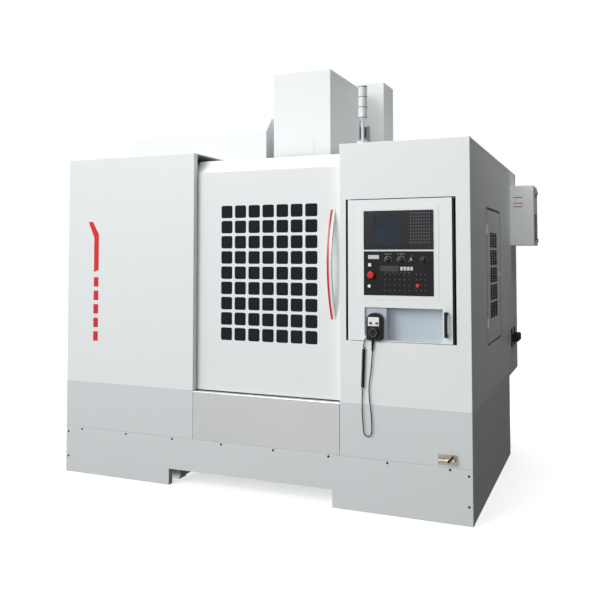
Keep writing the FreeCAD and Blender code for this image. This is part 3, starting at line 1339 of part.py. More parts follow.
def drive_modules():
    """Mounting plate with a row of axis drives, a control rack, contactors and a transformer."""
    plate = box((CABINET_LEFT + BACKPLATE_INSET, WIDTH - BACKPLATE_INSET),
                (SIDE_DEPTH + CABINET_WALL, BACKPLATE_Y), BACKPLATE_Z)
    parts = []
    for count, first, pitch, width, depth, zs in (DRIVE_ROW, RELAY_ROW):
        for i in range(count):
            x = CABINET_LEFT + first + i * pitch
            parts.append(box((x, x + width), (BACKPLATE_Y, BACKPLATE_Y + depth), zs))
    for (x0, x1), depth, zs in (RACK, WIRE_DUCT, TRANSFORMER):
        parts.append(box((CABINET_LEFT + x0, CABINET_LEFT + x1), (BACKPLATE_Y, BACKPLATE_Y + depth), zs))
    return Part.makeCompound([plate] + parts)


def cabinet_cooler():
    """Closed-loop cooler on the cabinet's side, with a slotted outer face and two latches."""
    xs = (WIDTH, WIDTH + COOLER_REACH - COOLER_KNOB_OUT)
    body = box(xs, COOLER_Y, COOLER_Z)
    body = rounded(body, lambda e: not on_plane(e, "X", WIDTH), COOLER_BEND)
    radius, length, drop = COOLER_KNOB
    knob_axis = (xs[1] + COOLER_KNOB_OUT - length, sum(COOLER_Y) / 2, COOLER_Z[1] - drop)
    turned = rod(knob_axis, X_AXIS, radius, length)
    return union([without(body, cooler_slots(xs[1])), turned] + cooler_latches(xs[1]))


def cooler_slots(face):
    """Grille slots in the cooler's outer face."""
    pitch = (GRILLE_Z[1] - GRILLE_Z[0]) / GRILLE_BARS
    ys = (COOLER_Y[0] + GRILLE_MARGIN, COOLER_Y[1] - GRILLE_MARGIN)
    return [box((face - GRILLE_DEPTH, face + 1), ys,
                (GRILLE_Z[0] + i * pitch, GRILLE_Z[0] + (i + GRILLE_OPEN) * pitch)) for i in range(GRILLE_BARS)]


def cooler_latches(face):
    """Four latches near the corners of the cooler's outer face."""
    half_y, half_z, out = COOLER_LATCH
    in_y, in_z = COOLER_LATCH_INSET
    return [box((face - 2, face + out), around(y, half_y), around(z, half_z))
            for y in (COOLER_Y[0] + in_y, COOLER_Y[1] - in_y) for z in (COOLER_Z[0] + in_z, COOLER_Z[1] - in_z)]


# ---------------------------------------------------------------- console
def console_box():
    """Sheet housing with a raised instrument field and an open pocket below it."""
    xs, zs, ys = CONSOLE_X, CONSOLE_Z, (0, CONSOLE_DEPTH)
    shell = box(xs, ys, zs)
    hollow = box((xs[0] + SHEET, xs[1] - SHEET), (SHEET, CONSOLE_DEPTH - SHEET),
                 (zs[0] + SHEET, zs[1] - SHEET))
    field = box(FIELD_X, (-FIELD_RAISE, SHEET), FIELD_Z)
    walls = [shell.cut(hollow), field, pocket_walls()] + pivot_bosses() + [cord_gland()]
    body = union(walls)
    return without(body, console_openings() + pivot_bores() + [gland_bore()])


def pocket_walls():
    """Outer skin of the pocket, with the shallow shelf for the pendant at its left."""
    t = SHEET
    outer = box((POCKET_X[0] - t, POCKET_X[1] + t), (0, POCKET_DEPTH + t), (CONSOLE_Z[0], POCKET_Z[1] + t))
    deep = box((SHELF_X + t, POCKET_X[1]), (-1, POCKET_DEPTH), POCKET_Z)
    shelf = box((POCKET_X[0], SHELF_X + t + 1), (-1, SHELF_Y), POCKET_Z)
    behind = box((POCKET_X[0] - t - 1, SHELF_X - t), (SHELF_Y + t, POCKET_DEPTH + t + 1),
                 (CONSOLE_Z[0] + t, POCKET_Z[1] + t + 1))
    return without(outer, [deep, shelf, behind])


def pivot_bosses():
    px, py = PIVOT
    depth = PIVOT_DEPTH + PIVOT_BOSS_MARGIN
    return [rod((px, py, z), Z_AXIS, PIVOT_R + PIVOT_WALL, depth) for z in (CONSOLE_Z[0], CONSOLE_Z[1] - depth)]


def pivot_bores():
    px, py = PIVOT
    depth = PIVOT_DEPTH + 1
    return [rod((px, py, z), Z_AXIS, PIVOT_R + FIT_GAP, depth)
            for z in (CONSOLE_Z[0] - 1 + SLIDE_GAP, CONSOLE_Z[1] - depth + 1)]


def cord_gland():
    """Small block beside the pendant where the cord's far end goes in."""
    return box(around(CORD_END.x, GLAND_HALF), (CORD_Y - GLAND_FRONT, SHELF_Y + 1),
               (CORD_END.z, CORD_END.z + GLAND_HEIGHT))


def gland_bore():
    """Blind bore in the gland, in line with the cord's last run."""
    before, beyond = GLAND_BORE
    run = (CORD_END - COIL_TOP - coil_axis() * TAIL_LEAD).normalize()
    start = CORD_END - run * before
    return Part.makeCylinder(CORD_R + FIT_GAP, before + beyond, start, run)


def console_openings():
    """Pocket mouth, and the windows behind the display and the operator panel."""
    mouths = [box((SHELF_X + SHEET, POCKET_X[1]), (-1, SHEET + 1), POCKET_Z),
              box((POCKET_X[0], SHELF_X), (-1, SHEET + 1), (POCKET_Z[0], CORD_END.z)),
              box((CORD_END.x + GLAND_HALF, SHELF_X + SHEET + 1), (-1, SHEET + 1), POCKET_Z),
              box((POCKET_X[0], SHELF_X), (-1, SHEET + 1), (CORD_END.z + GLAND_HEIGHT, POCKET_Z[1]))]
    inset = BODY_INSET - 1
    for zs in (DISPLAY_Z, PANEL_Z):
        mouths.append(box((DISPLAY_X[0] + inset, DISPLAY_X[1] - inset), (-FIELD_RAISE - 1, SHEET + 1),
                          (zs[0] + inset, zs[1] - inset)))
    return mouths


def instrument(zs, thick):
    """Front plate with a body behind it, seated on the raised field."""
    plate = box(DISPLAY_X, (-FIELD_RAISE - thick, -FIELD_RAISE), zs)
    body = box((DISPLAY_X[0] + BODY_INSET, DISPLAY_X[1] - BODY_INSET), (-FIELD_RAISE, BODY_DEPTH),
               (zs[0] + BODY_INSET, zs[1] - BODY_INSET))
    return union([plate, body])


def display_unit():
    face = -FIELD_RAISE - BEZEL
    unit = instrument(DISPLAY_Z, BEZEL)
    unit = rounded(unit, lambda e: on_plane(e, "Y", face), 2)
    return unit.cut(box(LCD_X, (face - 1, face + LCD_RECESS), LCD_Z))


def panel_face():
    return -FIELD_RAISE - PANEL_PLATE


def operator_panel():
    unit = instrument(PANEL_Z, PANEL_PLATE)
    radius, out = ESTOP_COLLAR
    collar = rod((ESTOP[0], panel_face() - out, ESTOP[1]), Y_AXIS, radius, out + 1)
    face = panel_face() - 1
    depth = CONTROL_BORE
    shafts = [rod((x, face, KNOB_Z), Y_AXIS, KNOB_SHAFT_R + FIT_GAP, depth) for x in KNOB_X + (KEY_X,)]
    stem = rod((ESTOP[0], face - ESTOP_BORE_FRONT, ESTOP[1]), Y_AXIS, ESTOP_STEM_R + SLIDE_GAP,
               depth + ESTOP_BORE_FRONT)
    well = BUTTON_HALF + SLIDE_GAP
    start = box(around(START[0], well), (face, face + depth), around(START[1], well))
    hold = rod((HOLD[0], face, HOLD[1]), Y_AXIS, well, depth)
    return without(union([unit, collar]), shafts + [stem, start, hold])


def knob(x, z, face, radius, length, shaft_r):
    """Turned knob with a pointer ridge and a shaft behind it."""
    body = rod((x, face - length, z), Y_AXIS, radius, length - FACE_GAP)
    body = rounded(body, lambda e: on_plane(e, "Y", face - length), radius * KNOB_EDGE)
    half, rise, reach = [radius * share for share in KNOB_RIDGE]
    ridge = box(around(x, half), (face - length - rise, face - length + 0.1), around(z, reach))
    shaft = rod((x, face - 1, z), Y_AXIS, shaft_r, CONTROL_SHAFT)
    return union([body, ridge, shaft])


def override_knob(index):
    return knob(KNOB_X[index], KNOB_Z, panel_face(), KNOB_R, KNOB_LENGTH, KNOB_SHAFT_R)


def key_switch():
    """Lock barrel with its key in place."""
    face = panel_face()
    radius, out = KEY_BARREL
    barrel = rod((KEY_X, face - out, KNOB_Z), Y_AXIS, radius, out - FACE_GAP)
    shaft = rod((KEY_X, face - 1, KNOB_Z), Y_AXIS, KNOB_SHAFT_R, CONTROL_SHAFT)
    half, rise, reach = KEY_BLADE
    blade = box(around(KEY_X, half), (face - reach, face - out + FACE_GAP), around(KNOB_Z, rise))
    bow_r, bow_out = KEY_BOW
    bow = rod((KEY_X - half, face - bow_out, KNOB_Z), X_AXIS, bow_r, half * 2)
    return union([barrel, shaft, blade, bow])


def estop_button():
    face = panel_face()
    crown = rod((ESTOP[0], face - ESTOP_OUT, ESTOP[1]), Y_AXIS, ESTOP_R, ESTOP_CROWN)
    crown = rounded(crown, lambda e: on_plane(e, "Y", face - ESTOP_OUT), ESTOP_DOME)
    start, length = ESTOP_STEM
    return union([crown, rod((ESTOP[0], face - start, ESTOP[1]), Y_AXIS, ESTOP_STEM_R, length)])


def start_button():
    face = panel_face()
    cap = box(around(START[0], BUTTON_HALF), (face - BUTTON_OUT, face + BUTTON_IN),
              around(START[1], BUTTON_HALF))
    return rounded(cap, lambda e: on_plane(e, "Y", face - BUTTON_OUT), 1)


def hold_button():
    face = panel_face()
    cap = rod((HOLD[0], face - BUTTON_OUT, HOLD[1]), Y_AXIS, BUTTON_HALF, BUTTON_OUT + BUTTON_IN)
    return rounded(cap, lambda e: on_plane(e, "Y", face - BUTTON_OUT), 1)


def console_handle():
    """Bar grip on two feet."""
    half = GRIP_SIDE / 2
    bar = box(around(GRIP_X, half), (-GRIP_OUT, GRIP_SIDE - GRIP_OUT), GRIP_Z)
    feet = [box(around(GRIP_X, half), (-GRIP_OUT + half, 0), zs)
            for zs in ((GRIP_Z[0], GRIP_Z[0] + GRIP_SIDE), (GRIP_Z[1] - GRIP_SIDE, GRIP_Z[1]))]
    body = union([bar] + feet)
    return rounded(body, lambda e: on_plane(e, "Y", -GRIP_OUT), GRIP_EDGE_R)


# ---------------------------------------------------------------- pendant and cord
def pendant():
    """Hand pendant with a rounded head, and the cord's tapered strain relief below it."""
    xs, zs = PENDANT_X, PENDANT_Z
    body = box(xs, (PENDANT_FRONT, PENDANT_BACK), zs)
    body = rounded(body, lambda e: on_plane(e, "Z", zs[1]) and on_plane(e, "X", e.BoundBox.XMin), PENDANT_HEAD_R)
    body = rounded(body, lambda e: on_plane(e, "Z", zs[0]) and on_plane(e, "X", e.BoundBox.XMin), PENDANT_FOOT_R)
    body = rounded(body, lambda e: on_plane(e, "Y", PENDANT_FRONT), PENDANT_EDGE_R)
    along = RELIEF_END - RELIEF_TOP
    start = RELIEF_TOP - along * RELIEF_SEAT
    relief = Part.makeCone(*RELIEF_R, (RELIEF_END - start).Length, start, along)
    shafts = [rod((x, PENDANT_FRONT - 1, z), Y_AXIS, KNOB_SHAFT_R + FIT_GAP, PENDANT_BORE)
              for x, z in [(x, SELECT_Z) for x in SELECT_X] + [WHEEL]]
    return without(union([body, relief]), shafts)


def pendant_wheel():
    """Pulse wheel with a finger grip near its rim."""
    x, z = WHEEL
    face = PENDANT_FRONT
    disc = rod((x, face - WHEEL_THICK, z), Y_AXIS, WHEEL_R, WHEEL_THICK - FACE_GAP)
    disc = rounded(disc, lambda e: on_plane(e, "Y", face - WHEEL_THICK), 2)
    shaft = rod((x, face - 1, z), Y_AXIS, KNOB_SHAFT_R, CONTROL_SHAFT)
    radius, length, out, rise = WHEEL_PEG
    peg = rod((x, face - WHEEL_THICK - out, z + rise), Y_AXIS, radius, length)
    return union([disc, shaft, peg])


def select_knob(index):
    return knob(SELECT_X[index], SELECT_Z, PENDANT_FRONT, SELECT_R, SELECT_LENGTH, KNOB_SHAFT_R)


def coil_axis():
    return (COIL_TOP - COIL_BOTTOM).normalize()


def cord_route():
    """Points of the two uncoiled stretches, from the relief and from the coil's top."""
    middle = [V(x, CORD_Y, z) for x, z in LOOP_POINTS]
    lower = [RELIEF_END] + middle + [COIL_BOTTOM - coil_axis() * COIL_LEAD, COIL_BOTTOM]
    upper = [COIL_TOP, COIL_TOP + coil_axis() * TAIL_LEAD, CORD_END]
    return lower, upper


def cord_tube():
    lower, upper = cord_route()
    return Part.makeCompound([cord_run(lower), cord_run(upper)])


def cord_coil():
    along = COIL_TOP - COIL_BOTTOM
    return Part.makeCylinder(COIL_R, along.Length, COIL_BOTTOM, along)


# ---------------------------------------------------------------- small outer parts
def air_valve():
    """Ball valve for the air gun on a screwed plate, with a coupler at its left."""
    plate = box(VALVE_PLATE_X, (-VALVE_PLATE, 0), VALVE_PLATE_Z)
    stub = rod((VALVE_X, VALVE_Y, VALVE_Z), Y_AXIS, VALVE_STUB_R, -VALVE_Y - VALVE_PLATE / 2)
    body = rod((VALVE_X - VALVE_BODY / 2, VALVE_Y, VALVE_Z), X_AXIS, VALVE_R, VALVE_BODY)
    nut = rod((VALVE_X - VALVE_NUT[1] / 2, VALVE_Y, VALVE_Z), X_AXIS, *VALVE_NUT)
    radius, length, start = VALVE_COUPLER
    coupler = rod((VALVE_X - start, VALVE_Y, VALVE_Z), X_AXIS, radius, length)
    bonnet = rod((VALVE_X, VALVE_Y, VALVE_Z), -Y_AXIS, VALVE_BONNET_R, VALVE_R + 2)
    front, depth = VALVE_STEM_BORE
    bore = rod((VALVE_X, VALVE_Y - VALVE_R - front, VALVE_Z), Y_AXIS, KNOB_SHAFT_R + FIT_GAP, depth)
    return union([plate, stub, body, nut, coupler, bonnet] + valve_screws()).cut(bore)


def valve_screws():
    """Four screws at the corners of the valve's plate."""
    in_x, in_z = VALVE_SCREW_INSET
    return [rod((x, -VALVE_PLATE - 2, z), Y_AXIS, *VALVE_SCREW)
            for x in (VALVE_PLATE_X[0] + in_x, VALVE_PLATE_X[1] - in_x)
            for z in (VALVE_PLATE_Z[0] + in_z, VALVE_PLATE_Z[1] - in_z)]


def valve_lever():
    """Flat lever on the valve's stem, at rest pointing up and to the right."""
    length, half, thick = LEVER
    face = VALVE_Y - VALVE_R - 2
    front = face - thick - FACE_GAP
    stem = rod((VALVE_X, face - thick, VALVE_Z), Y_AXIS, KNOB_SHAFT_R, LEVER_STEM)
    hub = rod((VALVE_X, front, VALVE_Z), Y_AXIS, LEVER_HUB_R, thick)
    arm = box((VALVE_X, VALVE_X + length), (front, front + thick), around(VALVE_Z, half))
    arm = arm.rotate(V(VALVE_X, 0, VALVE_Z), -Y_AXIS, LEVER_ANGLE)
    return union([stem, hub, arm])


def signal_tower():
    """Post with a base and three lamp seats, and the lens rings on it."""
    x, y = TOWER
    base = rod((x, y, HEIGHT), Z_AXIS, TOWER_BASE_R, TOWER_BASE_H)
    pole = rod((x, y, HEIGHT), Z_AXIS, TOWER_POLE_R, TOWER_LAMP_Z - HEIGHT)
    foot = Part.makeCone(TOWER_POLE_R, TOWER_LAMP_R, TOWER_FOOT, V(x, y, TOWER_LAMP_Z - TOWER_FOOT))
    core = rod((x, y, TOWER_LAMP_Z), Z_AXIS, TOWER_POLE_R, TOWER_LAMPS * TOWER_LAMP_H)
    rings = [rod((x, y, TOWER_LAMP_Z + i * TOWER_LAMP_H), Z_AXIS, TOWER_LAMP_R + 1, TOWER_RING)
             for i in range(TOWER_LAMPS)]
    cap = rod((x, y, TOWER_LAMP_Z + TOWER_LAMPS * TOWER_LAMP_H), Z_AXIS, TOWER_LAMP_R + 1, TOWER_CAP)
    top = TOWER_LAMP_Z + TOWER_LAMPS * TOWER_LAMP_H + TOWER_CAP
    cap = rounded(cap, lambda e: on_plane(e, "Z", top), TOWER_EDGE_R)
    post = union([base, pole, foot, core] + rings + [cap])
    return Part.makeCompound([post] + tower_lenses(x, y))


def tower_lenses(x, y):
    """Three clear lens rings round the tower's core."""
    lenses = []
    for i in range(TOWER_LAMPS):
        z = TOWER_LAMP_Z + i * TOWER_LAMP_H + TOWER_RING
        ring = rod((x, y, z), Z_AXIS, TOWER_LAMP_R, TOWER_LAMP_H - TOWER_RING)
        lenses.append(ring.cut(rod((x, y, z - 1), Z_AXIS, TOWER_LAMP_R - TOWER_LENS, TOWER_LAMP_H + 2)))
    return lenses


def coolant_tank():
    """Open-topped tank on the floor under the left trough, with its pump on a lid."""
    t = TANK_WALL
    tank = box(TANK_X, TANK_Y, TANK_Z)
    hollow = box((TANK_X[0] + t, TANK_X[1] - t), (TANK_Y[0] + t, TANK_Y[1] - t), (TANK_Z[0] + t, TANK_Z[1] + 1))
    lid = box(TANK_X, (TANK_Y[1] - TANK_LID, TANK_Y[1]), (TANK_Z[1], TANK_Z[1] + t))
    x, y = sum(TANK_X) / 2, TANK_Y[1] - TANK_LID / 2
    top = TRAY_Z - TANK_Z[1] - t - WALL_GAP
    pump = rod((x, y, TANK_Z[1] + t), Z_AXIS, PUMP_R, min(PUMP_HEIGHT, top))
    pipe = rod((x, y, TANK_Z[1] + t), Z_AXIS, PIPE_R, TRAY_Z - TANK_Z[1] - t)
    half, inset = TANK_FOOT
    feet = [box(around(fx, half), around(fy, half), (0, TANK_Z[0]))
            for fx in (TANK_X[0] + inset, TANK_X[1] - inset) for fy in (TANK_Y[0] + inset, TANK_Y[1] - inset)]
    return union([tank.cut(hollow), lid, pump, pipe] + feet)


# ---------------------------------------------------------------- all sub-parts
NODES = {
    "machine_bed": machine_bed,
    "levelling_feet": levelling_feet,
    "column": column,
    "frame_drives": frame_drives,
    "saddle": saddle,
    "x_axis_drive": x_axis_drive,
    "table": table,
    "x_screw": x_screw,
    "y_screw": y_screw,
    "z_screw": z_screw,
    "spindle_head": spindle_head,
    "spindle_motor": spindle_motor,
    "spindle": spindle,
    "head_cover": head_cover,
    "column_cover": column_cover,
    "magazine_frame": magazine_frame,
    "magazine_disc": magazine_disc,
    "magazine_cover": magazine_cover,
    "arm_shaft": arm_shaft,
    "changer_arm": changer_arm,
    "skirt_panels": skirt_panels,
    "panel_screws": panel_screws,
    "lower_panels": lower_panels,
    "kick_panel": kick_panel,
    "left_front_cover": left_front_cover,
    "right_front_cover": right_front_cover,
    "left_side_panel": left_side_panel,
    "right_side_panel": right_side_panel,
    "side_door": side_door,
    "roof_panel": roof_panel,
    "inner_guard": inner_guard,
    "door_panel": door_panel,
    "door_rails": door_rails,
    "door_window": door_window,
    "door_handle": door_handle,
    "electrical_cabinet": electrical_cabinet,
    "cabinet_door": cabinet_door,
    "drive_modules": drive_modules,
    "cabinet_cooler": cabinet_cooler,
    "console_box": console_box,
    "display_unit": display_unit,
    "operator_panel": operator_panel,
    "spindle_knob": lambda: override_knob(0),
    "feed_knob": lambda: override_knob(1),
    "rapid_knob": lambda: override_knob(2),
    "key_switch": key_switch,
    "estop_button": estop_button,
    "start_button": start_button,
    "hold_button": hold_button,
    "console_handle": console_handle,
    "pendant": pendant,
    "pendant_wheel": pendant_wheel,
    "axis_knob": lambda: select_knob(0),
    "step_knob": lambda: select_knob(1),
    "cord_tube": cord_tube,
    "cord_coil": cord_coil,
    "air_valve": air_valve,
    "valve_lever": valve_lever,
    "signal_tower": signal_tower,
    "coolant_tank": coolant_tank,
}

os.makedirs("parts", exist_ok=True)
for name, build in NODES.items():
    shape = build()
    shape.translate(V(-X_MID, -Y_MID, 0))
    shape.exportStep("parts/" + name + ".step")
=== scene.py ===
"""Visual model of a guarded vertical machining center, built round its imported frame."""
import bpy
import bmesh
import math
from mathutils import Matrix, Vector


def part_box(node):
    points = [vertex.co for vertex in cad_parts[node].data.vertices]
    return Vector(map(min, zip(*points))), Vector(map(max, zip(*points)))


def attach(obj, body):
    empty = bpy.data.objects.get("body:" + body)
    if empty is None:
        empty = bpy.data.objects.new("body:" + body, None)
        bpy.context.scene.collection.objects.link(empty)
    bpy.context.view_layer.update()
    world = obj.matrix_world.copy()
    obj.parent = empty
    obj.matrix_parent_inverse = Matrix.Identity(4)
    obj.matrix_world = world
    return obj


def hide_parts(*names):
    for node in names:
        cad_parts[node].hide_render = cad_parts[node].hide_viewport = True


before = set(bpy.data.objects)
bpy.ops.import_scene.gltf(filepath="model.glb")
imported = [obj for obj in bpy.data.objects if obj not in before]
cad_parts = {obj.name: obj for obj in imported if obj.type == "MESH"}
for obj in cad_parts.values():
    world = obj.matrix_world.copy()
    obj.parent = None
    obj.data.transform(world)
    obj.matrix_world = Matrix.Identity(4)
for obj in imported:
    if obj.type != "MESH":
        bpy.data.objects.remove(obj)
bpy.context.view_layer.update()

# ------------------------------------------------------------------ camera
# Stands in front of the machine, to its right, at a little under head height, and looks
# slightly upwards. The vertical shift keeps the tilt small, so uprights stay nearly parallel.
CAMERA_PLACE = (1.9508, -5.0601, 1.4401)
CAMERA_YAW = 0.3965
CAMERA_PITCH = 0.0456
CAMERA_LENS = 44.384
CAMERA_SHIFT = -0.13
camera_data = bpy.data.cameras.new("camera")
camera_data.lens = CAMERA_LENS
camera_data.sensor_width = 36.0
camera_data.shift_y = CAMERA_SHIFT
camera = bpy.data.objects.new("camera", camera_data)
camera.location = CAMERA_PLACE
camera.rotation_euler = (math.pi / 2 + CAMERA_PITCH, 0.0, CAMERA_YAW)
bpy.context.collection.objects.link(camera)
bpy.context.scene.camera = camera

# ------------------------------------------------------------------ guard panels
# Folded steel sheet, powder coated a cool light grey with a fine texture. The panels are
# bolted edge to edge round the bed, so each keeps its own thin seam.
CORNER = Vector((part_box("left_front_cover")[0].x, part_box("left_front_cover")[0].y, 0.0))


def spot(x, y, z):
    """Point from millimetres measured from the guard's left front corner on the floor."""
    return CORNER + Vector((x, y, z)) / 1000.0


class Wire:
    """An output socket in a material. Arithmetic on it adds Math nodes."""

    def __init__(self, shade, out):
        self.shade, self.out = shade, out

    def maths(self, operation, *values):
        return self.shade.node("ShaderNodeMath", {"operation": operation}, dict(enumerate(values)))

    def __add__(self, other):
        return self.maths("ADD", self, other)

    def __sub__(self, other):
        return self.maths("SUBTRACT", self, other)

    def __mul__(self, other):
        return self.maths("MULTIPLY", self, other)

    def __truediv__(self, other):
        return self.maths("DIVIDE", self, other)

    def fold(self):
        """Triangle wave from 0 to 1 and back, once for each whole number."""
        return self.maths("PINGPONG", self, 0.5) * 2.0

    def __gt__(self, other):
        return self.maths("GREATER_THAN", self, other)

    def __lt__(self, other):
        return self.maths("LESS_THAN", self, other)


# Places of a Mix node's two colour inputs and of its colour output.
MIX_FIRST, MIX_SECOND, MIX_RESULT = 6, 7, 2


class Shade:
    """A material being wired up."""

    def __init__(self, name):
        self.material = bpy.data.materials.new(name)
        self.material.use_nodes = True
        self.tree = self.material.node_tree
        self.tree.nodes.clear()

    def node(self, kind, settings=None, sockets=None, out=0):
        made = self.tree.nodes.new(kind)
        for key, value in (settings or {}).items():
            setattr(made, key, value)
        for key, value in (sockets or {}).items():
            if isinstance(value, Wire):
                self.tree.links.new(value.out, made.inputs[key])
            else:
                made.inputs[key].default_value = value
        return Wire(self, made.outputs[out])

    def place(self, scale):
        where = self.node("ShaderNodeTexCoord", out="Object")
        return self.node("ShaderNodeMapping", None, {"Vector": where, "Scale": scale})

    def noise(self, scale, stretch=(1.0, 1.0, 1.0), detail=2.0):
        return self.node("ShaderNodeTexNoise", None,
                         {"Vector": self.place(stretch), "Scale": scale, "Detail": detail})

    def axis(self, letter):
        where = self.node("ShaderNodeTexCoord", out="Object")
        return self.node("ShaderNodeSeparateXYZ", None, {"Vector": where}, letter)

    def blend(self, amount, first, second):
        """Mix of two colours, each of them three numbers or a socket."""
        colours = {MIX_FIRST: first if isinstance(first, Wire) else (*first, 1.0),
                   MIX_SECOND: second if isinstance(second, Wire) else (*second, 1.0)}
        return self.node("ShaderNodeMix", {"data_type": "RGBA"}, {0: amount, **colours}, MIX_RESULT)

    def within(self, letter, low, high):
        """1 where a coordinate is between two values, in metres, and 0 elsewhere."""
        return (self.axis(letter) > low) * (self.axis(letter) < high)

    def bump(self, height, strength, distance):
        return self.node("ShaderNodeBump", None,
                         {"Height": height, "Strength": strength, "Distance": distance})

    def close(self, sockets):
        surface = self.node("ShaderNodeBsdfPrincipled", None, sockets)
        end = self.tree.nodes.new("ShaderNodeOutputMaterial")
        self.tree.links.new(surface.out, end.inputs["Surface"])
        return self.material


# Height in metres above which the coat is not darkened.
DARKENING_TOP = 0.55


def powder_coat(name, colour, roughness=0.42, darkening=0.06):
    """Textured coat: fine orange peel, slow colour drift, and a slight darkening towards the
    bottom.
    """
    shade = Shade(name)
    drift = shade.noise(1.3, detail=3.0)
    peel = shade.noise(900.0)
    low = shade.node("ShaderNodeMapRange", None,
                     {"Value": shade.axis("Z"), "From Min": DARKENING_TOP, "From Max": 0.0})
    low_darkening = (low * 0.6 + 0.25) * drift * (darkening * 2.0)
    dark = tuple(c * 0.55 for c in colour)
    base = shade.blend(low_darkening, colour, dark)
    rough = drift * 0.08 + (roughness - 0.04)
    return shade.close({"Base Color": base, "Roughness": rough, "Specular IOR Level": 0.25,
                        "Normal": shade.bump(peel, 0.10, 0.0004)})


def dress(names, material):
    """Give CAD nodes one material."""
    for name in names:
        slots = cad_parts[name].data.materials
        slots.clear()
        slots.append(material)


guard_white = powder_coat("guard_white", (0.80, 0.825, 0.83))
# The skirt and lower panels take a darker copy of the coat: painted shade, as their faces catch
# less light.
guard_grey = powder_coat("guard_grey", (0.66, 0.69, 0.70), darkening=0.12)
dress(("left_front_cover", "right_front_cover", "left_side_panel", "right_side_panel",
       "roof_panel", "door_panel", "side_door", "head_cover", "column_cover", "magazine_cover",
       "electrical_cabinet", "cabinet_door"), guard_white)
dress(("skirt_panels", "lower_panels"), guard_grey)


def settle(name, form, material, body):
    """New piece in one material from a filled bmesh, riding on a body."""
    mesh = bpy.data.meshes.new(name)
    form.to_mesh(mesh)
    form.free()
    mesh.materials.append(material)
    piece = bpy.data.objects.new(name, mesh)
    bpy.context.collection.objects.link(piece)
    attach(piece, body)


def solid(name, material, body, build):
    """New piece from a function that fills a bmesh."""
    form = bmesh.new()
    build(form)
    bmesh.ops.recalc_face_normals(form, faces=form.faces)
    settle(name, form, material, body)


def plate(form, xs, ys, zs, edge=0.0):
    """Rectangular block between three pairs of millimetres, with its edges eased."""
    made = bmesh.ops.create_cube(form, size=1.0)["verts"]
    low, high = spot(xs[0], ys[0], zs[0]), spot(xs[1], ys[1], zs[1])
    for vert in made:
        vert.co = Vector([low[i] if vert.co[i] < 0 else high[i] for i in range(3)])
    if edge:
        rims = list({side for vert in made for side in vert.link_edges})
        bmesh.ops.bevel(form, geom=rims, offset=edge / 1000.0, segments=2, affect="EDGES")


def prism(form, outline, front, back):
    """Prism with an outline of X and Z, between two depths."""
    rings = [[form.verts.new(spot(x, depth, z)) for x, z in outline] for depth in (front, back)]
    form.faces.new(rings[0])
    form.faces.new(rings[1][::-1])
    for i in range(len(outline)):
        j = (i + 1) % len(outline)
        form.faces.new((rings[0][i], rings[1][i], rings[1][j], rings[0][j]))


def lacquer(name, colour, roughness=0.32):
    """Smooth sprayed or printed colour with a slight unevenness."""
    shade = Shade(name)
    drift = shade.noise(35.0, detail=3.0)
    base = shade.blend(drift * 0.35, colour, tuple(c * 0.8 for c in colour))
    return shade.close({"Base Color": base, "Roughness": drift * 0.12 + (roughness - 0.06)})


def ring_of_strips(form, face, ys, zs, width, proud):
    """Four strips round a rectangle on the right side."""
    xs = (face, face + proud)
    plate(form, xs, (ys[0], ys[0] + width), zs)
    plate(form, xs, (ys[1] - width, ys[1]), zs)
    plate(form, xs, (ys[0] + width, ys[1] - width), (zs[0], zs[0] + width))
    plate(form, xs, (ys[0] + width, ys[1] - width), (zs[1] - width, zs[1]))


# ------------------------------------------------------------------ side fittings
# Black rubber edging in the joint round the side's service door, blades over the door's slots
# in black as painted shade under the pressed louvres, and a black pull handle of moulded nylon
# screwed to the side sheet by two feet.
def moulded(name, colour, roughness=0.45, grain=1400.0, depth=0.12):
    """Moulded or oxidised surface with a fine even grain."""
    shade = Shade(name)
    grains = shade.noise(grain)
    wear = shade.noise(14.0, detail=3.0)
    base = shade.blend(wear, colour, tuple(min(1.0, c * 1.25 + 0.004) for c in colour))
    return shade.close({"Base Color": base, "Roughness": wear * 0.14 + (roughness - 0.07),
                        "Specular IOR Level": 0.16, "Normal": shade.bump(grains, depth, 0.0002)})


SIDE_FACE = 2700.0
DOOR_EDGING_Y = (563.0, 1149.5)
DOOR_EDGING_WIDTH = 5.0
DOOR_EDGING_PROUD = 0.6
DOOR_EDGING_Z = (898.5, 1731.5)
rubber_black = moulded("rubber_black", (0.012, 0.012, 0.013), 0.6)
solid("side_door_edging", rubber_black, "side_door",
      lambda form: ring_of_strips(form, SIDE_FACE, DOOR_EDGING_Y, DOOR_EDGING_Z,
                                  DOOR_EDGING_WIDTH, DOOR_EDGING_PROUD))
LOUVRE_Y = (702.0, 802.0, 902.0)
LOUVRE_Z = (1050.0, 1160.0, 1270.0, 1380.0, 1490.0)
LOUVRE_WIDTH = 74.0
LOUVRE_PITCH = 16.0
LOUVRE_BLADES = 6
LOWEST_BLADE = 6.5
BLADE_SECTION = [(0.0, 9.5), (4.0, 1.0), (4.0, 0.0), (0.0, 0.8)]


def louvre_shade_blades(form):
    """Blades over the slots, black as painted shade under the louvres: each leans out of the sheet
    at its foot.
    """
    for y in LOUVRE_Y:
        for z in LOUVRE_Z:
            for i in range(LOUVRE_BLADES):
                foot = z + LOWEST_BLADE + i * LOUVRE_PITCH
                section = [(SIDE_FACE + out, foot + up) for out, up in BLADE_SECTION]
                prism(form, section, y, y + LOUVRE_WIDTH)


# Painted shade: the louvres are pressed from the door's sheet, and the blades' black stands for the
# shade under each one.
solid("louvre_shade_blades", rubber_black, "side_door", louvre_shade_blades)
PULL_Y = (1690.0, 1890.0)
PULL_Z = (760.0, 896.0)
PULL_FOOT = 34.0
PULL_FOOT_THICK = 7.0
PULL_ARM_OUT = 34.0
PULL_BAR_OUT = (30.0, 52.0)
ARM_INSET_Y, ARM_INSET_Z = 6.0, 40.0
BAR_INSET_Y, BAR_INSET_Z = 4.0, 38.0


